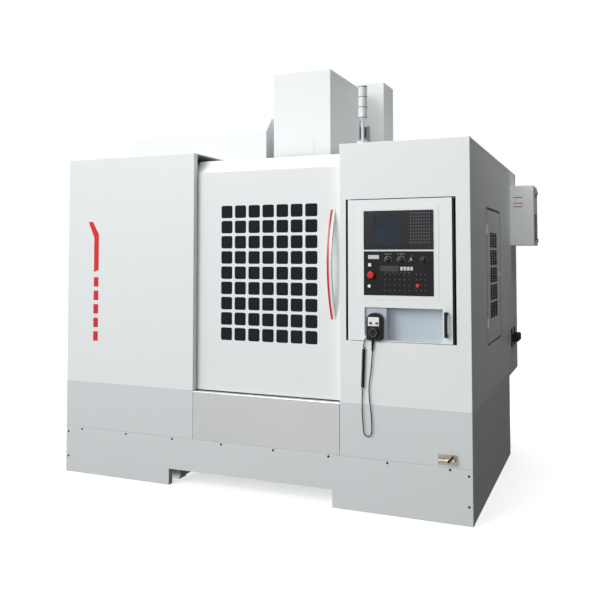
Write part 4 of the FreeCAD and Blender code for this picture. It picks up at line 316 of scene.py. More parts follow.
def pull_handle(form):
    """Two feet, an arm standing on each foot, and a round-edged bar across the arms."""
    (y0, y1), (z0, z1) = PULL_Y, PULL_Z
    ends = ((y0, y0 + PULL_FOOT), (y1 - PULL_FOOT, y1))
    foot = (SIDE_FACE, SIDE_FACE + PULL_FOOT_THICK)
    arm = (foot[1], SIDE_FACE + PULL_ARM_OUT)
    bar = tuple(SIDE_FACE + out for out in PULL_BAR_OUT)
    for near, far in ends:
        plate(form, foot, (near, far), PULL_Z, 1.5)
    for near, far in ends:
        plate(form, arm, (near + ARM_INSET_Y, far - ARM_INSET_Y),
              (z0 + ARM_INSET_Z, z1 - ARM_INSET_Z), 3.0)
    plate(form, bar, (y0 + BAR_INSET_Y, y1 - BAR_INSET_Y),
          (z0 + BAR_INSET_Z, z1 - BAR_INSET_Z), 7.0)


solid("side_pull_handle", rubber_black, "frame", pull_handle)

# ------------------------------------------------------------------ cover stripe
# Red vinyl stripe on the left cover. It leans in at its top, runs straight down and then
# breaks into five dashes.
STRIPE_X = (212.0, 250.0)
STRIPE_TOP = [(165.0, 1667.0), (200.0, 1667.0), (250.0, 1582.0), (250.0, 1345.0),
              (212.0, 1332.0), (212.0, 1560.0)]
STRIPE_DASHES = 5
DASH_FOOT = 877.0
DASH_PITCH = 89.5
DASH_LENGTH = 63.0
VINYL = 0.35
stripe_red = lacquer("stripe_red", (0.72, 0.010, 0.018))


def stripe(form):
    """The leaning top and the dashes below it."""
    prism(form, STRIPE_TOP, -VINYL, 0.0)
    for i in range(STRIPE_DASHES):
        low = DASH_FOOT + i * DASH_PITCH
        plate(form, STRIPE_X, (-VINYL, 0.0), (low, low + DASH_LENGTH))


solid("cover_stripe", stripe_red, "frame", stripe)

# ------------------------------------------------------------------ kick panel
# Brushed stainless sheet under the door, where boots and carts knock it, slightly cloudy, with
# its grain upright. The coolant tank is the same sheet, and the inner guard is galvanised.
def brushed(name, colour, stretch, roughness=0.3, depth=0.12):
    """Brushed metal: streaks along the grain with a slow variation across the sheet."""
    shade = Shade(name)
    streak = shade.noise(1.0, stretch, 4.0)
    cloud = shade.noise(2.4, detail=3.0)
    tone = streak * 0.7 + cloud * 0.3
    base = shade.blend(tone, tuple(c * 0.82 for c in colour), colour)
    return shade.close({"Base Color": base, "Metallic": 1.0,
                        "Roughness": tone * 0.22 + (roughness - 0.1),
                        "Normal": shade.bump(streak, depth, 0.0003)})


stainless = brushed("stainless", (0.86, 0.865, 0.87), (900.0, 900.0, 9.0), 0.3, 0.25)
dress(("kick_panel", "coolant_tank"), stainless)
dress(("inner_guard",), brushed("galvanised", (0.56, 0.58, 0.58), (26.0, 26.0, 22.0), 0.42, 0.05))

# ------------------------------------------------------------------ panel screws
# Domed socket screws, black oxide, one row along the top of the skirt and two at each end.
black_oxide = moulded("black_oxide", (0.018, 0.018, 0.019), 0.38)
dress(("panel_screws", "valve_lever"), black_oxide)

# ------------------------------------------------------------------ door window and handle
# Tinted laminated sheet clamped behind the grid, almost black from outside, and a bow
# handle with a red strip along its left edge.
RED_WIDTH = 0.013
glass = Shade("tinted_glass")
smoke = glass.blend(glass.noise(1.1), (0.006, 0.007, 0.009), (0.014, 0.017, 0.022))
dress(("door_window",), glass.close({"Base Color": smoke, "Roughness": 0.07,
                                     "Specular IOR Level": 0.18,
                                     "Normal": glass.bump(glass.noise(3.0), 0.02, 0.002)}))
grip = Shade("handle_paint")
facing = grip.node("ShaderNodeTexCoord", out="Normal")
sideways_face = grip.node("ShaderNodeSeparateXYZ", None, {"Vector": facing}, "X")
front_face = grip.node("ShaderNodeSeparateXYZ", None, {"Vector": facing}, "Y")
handle_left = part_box("door_handle")[0].x
strip = (grip.axis("X") < handle_left + RED_WIDTH) * (front_face < -0.4)
strip_edge = (sideways_face < -0.6)
red = strip.maths("MAXIMUM", strip, strip_edge)
handle_colour = grip.blend(red, (0.74, 0.76, 0.77), (0.60, 0.012, 0.02))
dress(("door_handle",), grip.close({"Base Color": handle_colour,
                                    "Roughness": grip.noise(30.0) * 0.1 + 0.24}))
dress(("door_rails",), brushed("ground_steel", (0.60, 0.61, 0.63), (8.0, 900.0, 900.0), 0.26))

# ------------------------------------------------------------------ castings
# Grey iron castings with satin enamel, slightly lumpy under the paint: the bed, the column,
# the saddle, the spindle head and the magazine's beam. The feet are zinc plated.
def enamel(name, colour):
    """Enamel sprayed over a casting, so a broad lumpiness shows under thin oil."""
    shade = Shade(name)
    lumps = shade.noise(28.0, detail=4.0)
    oil = shade.noise(3.0, detail=4.0)
    base = shade.blend(oil * 0.5, colour, tuple(c * 0.72 for c in colour))
    return shade.close({"Base Color": base, "Roughness": oil * 0.2 + 0.3,
                        "Normal": shade.bump(lumps, 0.2, 0.0012)})


dress(("machine_bed", "column", "saddle", "spindle_head", "magazine_frame"),
      enamel("casting_enamel", (0.50, 0.53, 0.54)))
dress(("levelling_feet",),
      brushed("zinc_plate", (0.52, 0.53, 0.55), (40.0, 40.0, 40.0), 0.36, 0.04))

# ------------------------------------------------------------------ table
# Iron table ground on top, with tee slots. The grinding marks run along its length and a film
# of oil darkens it in patches.
ground = Shade("ground_iron")
marks = ground.noise(1.0, (12.0, 1400.0, 1400.0), 3.0)
film = ground.noise(5.0, detail=4.0)
worn = marks * 0.5 + film * 0.5
iron = ground.blend(worn, (0.26, 0.27, 0.28), (0.50, 0.51, 0.52))
dress(("table",), ground.close({"Base Color": iron, "Metallic": 1.0,
                                "Roughness": worn * 0.25 + 0.2,
                                "Normal": ground.bump(marks, 0.15, 0.0003)}))

# ------------------------------------------------------------------ ball screws
# Hardened steel screws with a rolled round thread of 20 mm lead, one to each axis, lightly
# oiled. The thread turns with its screw.
THREAD_LEAD = 0.020


def threaded(screw, along, first, second):
    """Steel with a rolled thread, from the angle round the screw and the distance along it, its
    grooves darkened as painted shade.
    """
    low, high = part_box(screw)
    centre = (low + high) / 2
    shade = Shade(screw + "_thread")
    right = shade.axis(first) - centre["XYZ".index(first)]
    above = shade.axis(second) - centre["XYZ".index(second)]
    angle = above.maths("ARCTAN2", above, right)
    groove = (angle / (2.0 * math.pi) + shade.axis(along) / THREAD_LEAD).fold()
    # The grooves are darkened in colour: painted shade in the thread's hollows.
    base = shade.blend(groove, (0.16, 0.165, 0.17), (0.66, 0.67, 0.69))
    return shade.close({"Base Color": base, "Metallic": 1.0,
                        "Roughness": shade.noise(60.0) * 0.12 + 0.16,
                        "Normal": shade.bump(groove, 0.9, 0.004)})


for screw, letters in (("x_screw", "XYZ"), ("y_screw", "YXZ"), ("z_screw", "ZXY")):
    dress((screw,), threaded(screw, *letters))

# ------------------------------------------------------------------ drives
# Cast motor housings in satin black with cooling ribs. The spindle motor is larger, with
# coarser ribs.
RIB_PITCH = 0.012


def ribbed(name, colour, letter, pitch, depth=0.003):
    """Painted housing with parallel ribs across one axis, darker between them as painted shade."""
    shade = Shade(name)
    crest = ((shade.axis(letter) / pitch).fold() > 0.55)
    dust = shade.noise(9.0, detail=3.0)
    # Darker between the rib crests: painted shade in the hollows, with a little dust lightening it.
    base = shade.blend(crest * 0.6 + dust * 0.2, tuple(c * 0.45 for c in colour), colour)
    return shade.close({"Base Color": base, "Roughness": dust * 0.15 + 0.36,
                        "Normal": shade.bump(crest, 0.5, depth)})


dress(("frame_drives", "x_axis_drive"), ribbed("servo_black", (0.05, 0.05, 0.055), "Z", RIB_PITCH))
dress(("spindle_motor",), ribbed("spindle_motor_black", (0.06, 0.062, 0.068), "X", RIB_PITCH * 1.5))

# ------------------------------------------------------------------ spindle and tool changer
# Turned spindle nose in bright steel. The magazine's disc is grey enamel with black pots round
# its rim, and the changer's arm is black oxide on a bright shaft.
POT_RING = 0.72
dress(("spindle", "arm_shaft"),
      brushed("turned_steel", (0.63, 0.64, 0.66), (60.0, 60.0, 1200.0), 0.22, 0.06))
magazine = Shade("magazine_finish")
low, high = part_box("magazine_disc")
hub, span = (low + high) / 2, (high.x - low.x) / 2
off_x, off_z = magazine.axis("X") - hub.x, magazine.axis("Z") - hub.z
squared = off_x * off_x + off_z * off_z
pots = (squared > (span * POT_RING) ** 2)
grain = magazine.noise(400.0)
disc_colour = magazine.blend(pots, (0.42, 0.44, 0.46), (0.03, 0.03, 0.032))
dress(("magazine_disc",), magazine.close({"Base Color": disc_colour,
                                          "Roughness": grain * 0.1 + 0.38,
                                          "Normal": magazine.bump(grain, 0.1, 0.0004)}))
dress(("changer_arm",), moulded("arm_oxide", (0.03, 0.03, 0.032), 0.33))

# ------------------------------------------------------------------ cabinet drives and cooler
# Moulded drive modules and their mounting sheet, in one grey finish with fine level vents whose
# slots are near-black as painted shade. The cooler is a powder-coated box with black latches, a
# black grille and three printed bars.
VENT_PITCH = 0.014
COOLER_SKIN = 0.0008
LATCH_PROUD = 0.010
GRILLE_Z = (1.550, 1.768)
GRILLE_BEHIND_FACE = (0.0245, 0.0108)
GRILLE_INSET = 0.034
drives = Shade("drive_mouldings")
vents = (drives.axis("Z") / VENT_PITCH).fold()
opening = (vents > 0.7)
tint = drives.noise(7.0, detail=3.0)
# The vent slots are near-black: painted shade inside the openings.
module_grey = drives.blend(opening * 0.75, (0.58, 0.57, 0.53), (0.05, 0.05, 0.05))
dress(("drive_modules",), drives.close({"Base Color": module_grey,
                                        "Roughness": tint * 0.15 + 0.4,
                                        "Normal": drives.bump(opening, 0.4, 0.002)}))
cooler = Shade("cooler_coat")
low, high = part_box("cabinet_cooler")
fittings = (cooler.axis("X") > high.x - LATCH_PROUD + COOLER_SKIN)
behind, before = GRILLE_BEHIND_FACE
grille = cooler.within("Z", *GRILLE_Z) * cooler.within("X", high.x - behind, high.x - before)
grille = grille * cooler.within("Y", low.y + GRILLE_INSET, high.y - GRILLE_INSET)
dark = fittings.maths("MAXIMUM", fittings, grille)
speckle = cooler.noise(900.0)
coat = cooler.blend(dark, (0.88, 0.90, 0.90), (0.014, 0.014, 0.015))
dress(("cabinet_cooler",), cooler.close({"Base Color": coat,
                                         "Roughness": cooler.noise(4.0) * 0.1 + 0.36,
                                         "Normal": cooler.bump(speckle, 0.1, 0.0004)}))
BAR_X = (2722.0, 2790.0)
COOLER_FRONT = 1740.0
BAR_HEIGHT = 7.0
RED_BARS = (1806.0, 1876.0)
GREEN_BARS = (1832.0,)
bar_red = lacquer("bar_red", (0.55, 0.05, 0.06))
bar_green = lacquer("bar_green", (0.12, 0.20, 0.14))


def bars(form, feet):
    """Level printed bars on the cooler's front, from the heights of their feet."""
    for z in feet:
        plate(form, BAR_X, (COOLER_FRONT - VINYL, COOLER_FRONT), (z, z + BAR_HEIGHT))


solid("cooler_red_bars", bar_red, "frame", lambda form: bars(form, RED_BARS))
solid("cooler_green_bar", bar_green, "frame", lambda form: bars(form, GREEN_BARS))

# ------------------------------------------------------------------ console housing
# Folded sheet housing hung on two pivots, powder coated like the guard. Black strips line its
# opening and its free side is black, and the pocket's deep faces are a darker, bluer grey as
# painted shade.
OPENING_X = (1989.0, 2621.0)
OPENING_Z = (957.0, 1764.0)
LINING = 2.5
LINING_TOP = 1.5
LINING_START = 40.0
LINING_DEPTHS = (1.0, 38.0)
EDGING_X = (2600.0, 2612.0)
EDGING_DEPTHS = (2.0, 26.0)
EDGING_Z = (962.0, 1757.0)
SIDE_SKIN = 0.0006
POCKET_Z = (0.966, 1.1485)
POCKET_DEPTH = 3
console = Shade("console_coat")
low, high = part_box("console_box")
free_side = (console.axis("X") > high.x - SIDE_SKIN)
# Faces deeper than the pocket's rim are darker and bluer: painted shade in the recess.
pocket_shade = console.within("Z", *POCKET_Z) * (console.axis("Y") > spot(0, POCKET_DEPTH, 0).y)
peel = console.noise(900.0)
painted = console.blend(pocket_shade, (0.80, 0.825, 0.83), (0.50, 0.56, 0.62))
coat = console.blend(free_side, painted, (0.012, 0.012, 0.013))
dress(("console_box",), console.close({"Base Color": coat,
                                       "Roughness": console.noise(1.3, detail=3.0) * 0.08 + 0.38,
                                       "Normal": console.bump(peel, 0.1, 0.0004)}))


def opening_lining(form):
    """Black strip down both sides of the console's opening and along most of its top."""
    left, right = OPENING_X
    plate(form, (left, left + LINING), LINING_DEPTHS, OPENING_Z)
    plate(form, (right - LINING, right), LINING_DEPTHS, OPENING_Z)
    plate(form, (left + LINING_START, right - LINING), LINING_DEPTHS,
          (OPENING_Z[1] - LINING_TOP, OPENING_Z[1]))


solid("console_lining", rubber_black, "frame", opening_lining)
solid("console_side_edging", rubber_black, "console",
      lambda form: plate(form, EDGING_X, EDGING_DEPTHS, EDGING_Z, 2.0))

# ------------------------------------------------------------------ display
# Moulded bezel with a dull blue-black screen sunk in it, a keypad of small grey keys at its
# right and a row of soft keys below. The keys are caps with eased edges, pressed on.
class Pattern:
    """A geometry tree being wired up, with named inputs."""

    def __init__(self, name, inputs):
        self.tree = bpy.data.node_groups.new(name, "GeometryNodeTree")
        sockets = self.tree.interface
        self.identifiers = {}
        for label, kind in inputs.items():
            made = sockets.new_socket(label, in_out="INPUT", socket_type=kind)
            self.identifiers[label] = made.identifier
        sockets.new_socket("Geometry", in_out="OUTPUT", socket_type="NodeSocketGeometry")
        self.given = self.tree.nodes.new("NodeGroupInput").outputs

    def node(self, kind, settings=None, sockets=None, out=0):
        made = self.tree.nodes.new(kind)
        for key, value in (settings or {}).items():
            setattr(made, key, value)
        for key, value in (sockets or {}).items():
            if isinstance(value, bpy.types.NodeSocket):
                self.tree.links.new(value, made.inputs[key])
            else:
                made.inputs[key].default_value = value
        return made.outputs[out]

    def close(self, instances):
        real = self.node("GeometryNodeRealizeInstances", None, {"Geometry": instances})
        dressed = self.node("GeometryNodeSetMaterial", None,
                            {"Geometry": real, "Material": self.given["Material"]})
        end = self.tree.nodes.new("NodeGroupOutput")
        self.tree.links.new(dressed, end.inputs["Geometry"])

    def grow(self, values):
        """Plain mesh from the tree with these inputs."""
        seed = bpy.data.objects.new("seed", bpy.data.meshes.new("seed"))
        bpy.context.collection.objects.link(seed)
        modifier = seed.modifiers.new("pattern", "NODES")
        modifier.node_group = self.tree
        for label, value in values.items():
            modifier[self.identifiers[label]] = value
        graph = bpy.context.evaluated_depsgraph_get()
        mesh = bpy.data.meshes.new_from_object(seed.evaluated_get(graph))
        bpy.data.objects.remove(seed)
        return mesh


KEY_EASE = 0.0008
KEY_CROWN = 0.8
keys = Pattern("key_field", {"Columns": "NodeSocketInt", "Rows": "NodeSocketInt",
                             "Width": "NodeSocketFloat", "Height": "NodeSocketFloat",
                             "Key": "NodeSocketVector", "Ease": "NodeSocketFloat",
                             "Material": "NodeSocketMaterial"})
cap = keys.node("GeometryNodeMeshCube", None, {"Size": keys.given["Key"]})
normal = keys.node("GeometryNodeInputNormal")
upward = keys.node("ShaderNodeSeparateXYZ", None, {"Vector": normal}, "Z")
is_top = keys.node("FunctionNodeCompare", {"operation": "GREATER_THAN"}, {0: upward, 1: 0.5})
lifted = keys.node("GeometryNodeExtrudeMesh", None,
                   {"Mesh": cap, "Selection": is_top, "Offset Scale": keys.given["Ease"]})
crown = keys.node("GeometryNodeScaleElements", None,
                  {"Geometry": lifted, "Selection": lifted.node.outputs["Top"],
                   "Scale": KEY_CROWN})
field = keys.node("GeometryNodeMeshGrid", None,
                  {"Size X": keys.given["Width"], "Size Y": keys.given["Height"],
                   "Vertices X": keys.given["Columns"], "Vertices Y": keys.given["Rows"]})
placed = keys.node("GeometryNodeInstanceOnPoints", None, {"Points": field, "Instance": crown})
upright = keys.node("GeometryNodeTransform", None,
                    {"Geometry": placed, "Rotation": (math.pi / 2, 0.0, 0.0)})
keys.close(upright)


def key_block(xs, zs, face, columns, rows, size, rise, material):
    """Mesh of a block of keys whose outer edges fill two ranges of millimetres."""
    wide, tall = size
    mesh = keys.grow({"Columns": columns, "Rows": rows,
                      "Width": (xs[1] - xs[0] - wide) / 1000.0,
                      "Height": (zs[1] - zs[0] - tall) / 1000.0,
                      "Key": (wide / 1000.0, tall / 1000.0, rise / 1000.0),
                      "Ease": KEY_EASE, "Material": material})
    middle = spot((xs[0] + xs[1]) / 2, face - rise / 2, (zs[0] + zs[1]) / 2)
    mesh.transform(Matrix.Translation(middle))
    return mesh


def join(name, meshes, body):
    """One piece from several plain meshes of one material."""
    form = bmesh.new()
    for part in meshes:
        form.from_mesh(part)
    for face in form.faces:
        face.material_index = 0
    settle(name, form, next(m for m in meshes[0].materials if m), body)


DISPLAY_FACE = -8.0
SCREEN_X = (2161.0, 2308.0)
SCREEN_Z = (1513.0, 1667.0)
SCREEN_SUNK = -6.2
SCREEN_THICK = 0.8
KEYPAD_X, KEYPAD_Z = (2368.0, 2484.0), (1508.0, 1682.0)
KEYPAD_KEY = (11.0, 12.5)
SOFT_KEY_X, SOFT_KEY_Z = (2124.0, 2362.0), (1485.0, 1497.0)
SOFT_KEY = (13.0, 9.0)
bezel = Shade("display_moulding")
fleck = bezel.noise(1400.0)
moulding = bezel.blend(bezel.noise(14.0, detail=3.0), (0.010, 0.0105, 0.013), (0.026, 0.027, 0.032))
dress(("display_unit",), bezel.close({"Base Color": moulding, "Roughness": fleck * 0.1 + 0.32,
                                      "Specular IOR Level": 0.22,
                                      "Normal": bezel.bump(fleck, 0.08, 0.0002)}))
screen = Shade("screen_glass")
screen_tone = screen.noise(6.0, detail=2.0)
screen_blue = screen.blend(screen_tone, (0.012, 0.018, 0.028), (0.03, 0.045, 0.065))
screen_glass = screen.close({"Base Color": screen_blue, "Roughness": screen_tone * 0.06 + 0.1,
                             "Specular IOR Level": 0.3})
solid("screen", screen_glass, "console",
      lambda form: plate(form, SCREEN_X, (SCREEN_SUNK, SCREEN_SUNK + SCREEN_THICK), SCREEN_Z, 0.3))
key_grey = moulded("key_grey", (0.052, 0.054, 0.058), 0.42)
key_dark = moulded("key_dark", (0.016, 0.0165, 0.018), 0.4)
join("display_keypad",
     [key_block(KEYPAD_X, KEYPAD_Z, DISPLAY_FACE, 8, 10, KEYPAD_KEY, 1.6, key_grey)],
     "console")
join("display_soft_keys",
     [key_block(SOFT_KEY_X, SOFT_KEY_Z, DISPLAY_FACE, 12, 1, SOFT_KEY, 1.4, key_dark)],
     "console")

# ------------------------------------------------------------------ operator panel
# Matt black plate with a silver name plate left blank, a counter window, metal and dark keys
# in blocks, and printed scales round the dials. One key glows red.
PANEL_FACE = -5.0
PRINT = 0.25
NAME_PLATE_X, NAME_PLATE_Z = (2124.0, 2188.0), (1422.0, 1444.0)
COUNTER_X, COUNTER_Z = (2194.0, 2301.0), (1353.0, 1384.0)
SILVER_X, SILVER_Z = (2311.0, 2384.0), (1356.0, 1380.0)
RED_KEY_X, RED_KEY_Z = (2401.0, 2416.0), (1266.0, 1284.0)
# Each block's range of X and of Z, its columns and rows, and one key's width and height.
PANEL_BLOCKS = (((2217.0, 2371.0), (1239.0, 1343.0), 6, 4, (17.0, 15.0)),
                ((2394.0, 2461.0), (1241.0, 1344.0), 3, 4, (16.0, 15.0)))
LEGEND_ROWS = (((2225.0, 2363.0), (1347.0, 1350.5), 7, 1, (4.0, 2.0)),
               ((2222.0, 2260.0), (1449.0, 1452.0), 3, 1, (9.0, 2.5)),
               ((2296.0, 2334.0), (1449.0, 1452.0), 3, 1, (9.0, 2.5)))
PANEL_MARKS = (((2221.0, 2367.0), (1245.0, 1338.0), 6, 4, (6.0, 2.2)),
               ((2399.0, 2456.0), (1247.0, 1339.0), 3, 4, (6.0, 2.2)))
KEYPAD_MARKS = (((2371.0, 2481.0), (1512.0, 1679.0), 8, 10, (4.5, 2.6)),)
MARK_RISE = 2.4
dress(("operator_panel",), moulded("panel_matt", (0.010, 0.010, 0.011), 0.5, 1800.0, 0.08))
silver = brushed("key_silver", (0.62, 0.62, 0.62), (600.0, 600.0, 20.0), 0.28, 0.05)
solid("blank_plate", lacquer("plate_silver", (0.62, 0.60, 0.58)), "console",
      lambda form: plate(form, NAME_PLATE_X, (PANEL_FACE - 0.6, PANEL_FACE), NAME_PLATE_Z, 0.2))
window_smoke = lacquer("window_smoke", (0.055, 0.05, 0.058), 0.16)
solid("counter_window", window_smoke, "console",
      lambda form: plate(form, COUNTER_X, (PANEL_FACE - 0.8, PANEL_FACE), COUNTER_Z, 0.3))
join("silver_keys", [key_block(SILVER_X, SILVER_Z, PANEL_FACE, 4, 1, (16.0, 20.0), 1.8, silver)],
     "console")


def key_blocks(blocks, face, rise, material):
    """Meshes of several blocks that stand on one face."""
    return [key_block(xs, zs, face, columns, rows, size, rise, material)
            for xs, zs, columns, rows, size in blocks]


join("panel_keys", key_blocks(PANEL_BLOCKS, PANEL_FACE, 1.6, key_dark), "console")
legend_white = lacquer("legend_white", (0.62, 0.62, 0.62))
legend_grey = lacquer("legend_grey", (0.24, 0.24, 0.25))
glow = Shade("lit_red")
patch = glow.noise(30.0)
ember = glow.blend(patch * 0.3, (0.55, 0.01, 0.012), (0.30, 0.004, 0.006))
lit_red = glow.close({"Base Color": ember, "Roughness": patch * 0.1 + 0.25,
                      "Emission Color": (0.8, 0.02, 0.02, 1.0), "Emission Strength": 0.35})
join("red_key",
     [key_block(RED_KEY_X, RED_KEY_Z, PANEL_FACE - 1.4, 1, 1, (15.0, 18.0), 1.8, lit_red)],
     "console")
join("legend_marks", key_blocks(LEGEND_ROWS, PANEL_FACE, PRINT, legend_white),
     "console")
join("key_marks", key_blocks(PANEL_MARKS, PANEL_FACE - MARK_RISE, PRINT, legend_grey)
     + key_blocks(KEYPAD_MARKS, DISPLAY_FACE - MARK_RISE, PRINT, legend_grey),
     "console")

scale = Pattern("dial_scale", {"Count": "NodeSocketInt", "Radius": "NodeSocketFloat",
                               "Start": "NodeSocketFloat", "Sweep": "NodeSocketFloat",
                               "Mark": "NodeSocketVector", "Material": "NodeSocketMaterial"})
arc = scale.node("GeometryNodeCurveArc", {"mode": "RADIUS"},
                 {"Radius": scale.given["Radius"], "Start Angle": scale.given["Start"],
                  "Sweep Angle": scale.given["Sweep"]})
stops = scale.node("GeometryNodeCurveToPoints", {"mode": "COUNT"},
                   {"Curve": arc, "Count": scale.given["Count"]})
outward = scale.node("FunctionNodeAlignRotationToVector", {"axis": "X"},
                     {"Vector": scale.node("GeometryNodeInputPosition")})
mark = scale.node("GeometryNodeMeshCube", None, {"Size": scale.given["Mark"]})
spread = scale.node("GeometryNodeInstanceOnPoints", None,
                    {"Points": stops, "Instance": mark, "Rotation": outward})
scale.close(scale.node("GeometryNodeTransform", None,
                       {"Geometry": spread, "Rotation": (math.pi / 2, 0.0, 0.0)}))
SCALE_START, SCALE_SWEEP = math.radians(-25.0), math.radians(230.0)
SCALE_RADIUS = 19.5
MARK_WIDTH = 0.0016


def dial_scale(x, count, length, material):
    """Printed marks round a dial on the operator panel."""
    mesh = scale.grow({"Count": count, "Radius": SCALE_RADIUS / 1000.0, "Start": SCALE_START,
                       "Sweep": SCALE_SWEEP, "Material": material,
                       "Mark": (length / 1000.0, MARK_WIDTH, PRINT / 1000.0)})
    mesh.transform(Matrix.Translation(spot(x, PANEL_FACE - PRINT / 2, DIAL_Z)))
    return mesh


DIAL_Z = 1419.0
DIAL_MARKS = ((2239.0, 13), (2315.0, 15), (2376.0, 3))
RED_DIAL_X, RED_DIAL_MARKS = 2443.0, 9
join("dial_scales", [dial_scale(x, count, 4.5, legend_white) for x, count in DIAL_MARKS],
     "console")
legend_red = lacquer("legend_red", (0.60, 0.16, 0.15))
join("red_dial_scale", [dial_scale(RED_DIAL_X, RED_DIAL_MARKS, 5.0, legend_red)],
     "console")

# ------------------------------------------------------------------ knobs, key and buttons
# Black turned knobs with a pale line on the ridge, a bright key in its lock, a glossy red
# mushroom stop, two milky caps, and the console's moulded nylon grip.
LINE_HALF = 0.0008


def knob_finish(node):
    """Satin black with a pale line down the middle of its pointer ridge."""
    low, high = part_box(node)
    middle = (low.x + high.x) / 2
    shade = Shade(node + "_finish")
    line = shade.within("X", middle - LINE_HALF, middle + LINE_HALF)
    line = line * (shade.axis("Z") > (low.z + high.z) / 2) * (shade.axis("Y") < low.y + 0.002)
    grains = shade.noise(900.0)
    return shade.close({"Base Color": shade.blend(line, (0.022, 0.022, 0.024), (0.72, 0.72, 0.70)),
                        "Roughness": grains * 0.12 + 0.32, "Specular IOR Level": 0.2,
                        "Normal": shade.bump(grains, 0.1, 0.0002)})


for node in ("spindle_knob", "feed_knob", "rapid_knob", "axis_knob", "step_knob"):
    dress((node,), knob_finish(node))
dress(("key_switch",), brushed("key_bright", (0.70, 0.70, 0.71), (300.0, 300.0, 300.0), 0.16, 0.03))
dress(("estop_button",), lacquer("stop_red", (0.68, 0.008, 0.014), 0.2))
milky = Shade("milky_cap")
haze = milky.noise(50.0)
milk = milky.blend(haze, (0.80, 0.81, 0.80), (0.88, 0.88, 0.87))
dress(("start_button", "hold_button"),
      milky.close({"Base Color": milk, "Roughness": haze * 0.1 + 0.22}))
dress(("console_handle",), moulded("grip_nylon", (0.016, 0.016, 0.017), 0.42, 1100.0, 0.2))

# ------------------------------------------------------------------ pendant
# Moulded black handset with a blank white label behind its two selectors and a pulse wheel with
# fine marks on its rim, and the small screws of the shelf plate that it hangs on.
LABEL_X = (2128.0, 2192.0)
LABEL_Z = (1046.0, 1096.0)
PENDANT_FACE = -27.0
WHEEL_RIM = (0.0215, 0.0232)
WHEEL_MARKS = 100
dress(("pendant",), moulded("pendant_shell", (0.014, 0.014, 0.015), 0.36, 1500.0, 0.14))
wheel = Shade("wheel_finish")
low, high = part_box("pendant_wheel")
hub = (low + high) / 2
off_x, off_z = wheel.axis("X") - hub.x, wheel.axis("Z") - hub.z
squared = off_x * off_x + off_z * off_z
rim = (squared > WHEEL_RIM[0] ** 2) * (squared < WHEEL_RIM[1] ** 2)
turn = off_z.maths("ARCTAN2", off_z, off_x) * (WHEEL_MARKS / 2 / math.pi)
tick = (turn.fold() > 0.6) * rim
wheel_colour = wheel.blend(tick, (0.020, 0.020, 0.022), (0.55, 0.55, 0.55))
dress(("pendant_wheel",), wheel.close({"Base Color": wheel_colour,
                                       "Roughness": wheel.noise(90.0) * 0.1 + 0.28,
                                       "Specular IOR Level": 0.2}))
label_white = lacquer("label_white", (0.86, 0.86, 0.86))


def pendant_label(form):
    """Thin plate that the selectors stand in front of."""
    plate(form, LABEL_X, (PENDANT_FACE - 0.3, PENDANT_FACE + 0.1), LABEL_Z, 0.1)


solid("pendant_label", label_white, "console", pendant_label)
SHELF_SCREW_X = (2112.0, 2211.0)
SHELF_SCREW_Z = (1002.0, 1138.0)
SHELF_FACE = 15.0
SCREW_RADIUS = 0.0032
SCREW_DOME = 0.5


def shelf_screws(form):
    """Small pan-head screws at the corners of the pendant's shelf."""
    for x in SHELF_SCREW_X:
        for z in SHELF_SCREW_Z:
            made = bmesh.ops.create_uvsphere(form, u_segments=14, v_segments=8,
                                             radius=SCREW_RADIUS)["verts"]
            for vert in made:
                low_dome = Vector((vert.co.x, vert.co.y * SCREW_DOME, vert.co.z))
                vert.co = low_dome + spot(x, SHELF_FACE, z)


solid("shelf_screws", bpy.data.materials["zinc_plate"], "console", shelf_screws)

# ------------------------------------------------------------------ pendant cord
# Coiled polyurethane cord, 6 mm thick. It leaves the pendant's relief, hangs in a loop, winds
# up in a spring coil and goes into the gland in the console's pocket.
CORD_DEPTH = -12.0
CORD_DIAMETER = 0.006
COIL_RADIUS = 6.5
COIL_PITCH = 6.5
COIL_STEPS = 12
COIL_RAMP = 24.0
loop = [(2149, 905), (2146, 850), (2138, 776), (2126, 703), (2131, 627), (2140, 560),
        (2144, 490), (2143, 438), (2119, 424), (2095, 438), (2093, 490), (2087, 556),
        (2087.1, 619), (2088.8, 669)]
coil_low, coil_high = spot(2089, CORD_DEPTH, 674), spot(2099, CORD_DEPTH, 939)
along = (coil_high - coil_low).normalized()
across = Vector((0.0, 1.0, 0.0))
sideways = across.cross(along).normalized()
coil_length = (coil_high - coil_low).length * 1000.0
turns = round((coil_length - 2 * COIL_RAMP) / COIL_PITCH) + 2
pitch = (coil_length - 2 * COIL_RAMP) / (turns - 2)
helix = []
for i in range(turns * COIL_STEPS + 1):
    turn = i / COIL_STEPS
    ends = min(1.0, turn, turns - turn)
    rise = COIL_RAMP * min(turn, 1.0) + pitch * max(0.0, min(turn, turns - 1) - 1.0)
    rise += COIL_RAMP * max(0.0, turn - turns + 1)
    radius = COIL_RADIUS * (3.0 - 2.0 * ends) * ends * ends
    round_it = across * math.sin(2.0 * math.pi * turn) + sideways * math.cos(2.0 * math.pi * turn)
    helix.append(coil_low + along * rise / 1000.0 + round_it * radius / 1000.0)
tail = [spot(2099.15, CORD_DEPTH, 943.5), spot(2102, CORD_DEPTH, 957), spot(2108, CORD_DEPTH, 974)]
route = [spot(x, CORD_DEPTH, z) for x, z in loop] + helix + tail
cord_curve = bpy.data.curves.new("pendant_cord", "CURVE")
cord_curve.dimensions = "3D"
cord_curve.bevel_depth = CORD_DIAMETER / 2
cord_curve.bevel_resolution = 3
cord_curve.resolution_u = 3
spline = cord_curve.splines.new("NURBS")
spline.points.add(len(route) - 1)
for point, place in zip(spline.points, route):
    point.co = (*place, 1.0)
spline.order_u = 3
spline.use_endpoint_u = True
cord = bpy.data.objects.new("pendant_cord", cord_curve)
bpy.context.collection.objects.link(cord)
cord_curve.materials.append(moulded("cord_sheath", (0.016, 0.016, 0.017), 0.5, 2200.0, 0.08))
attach(cord, "console")
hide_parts("cord_tube", "cord_coil")

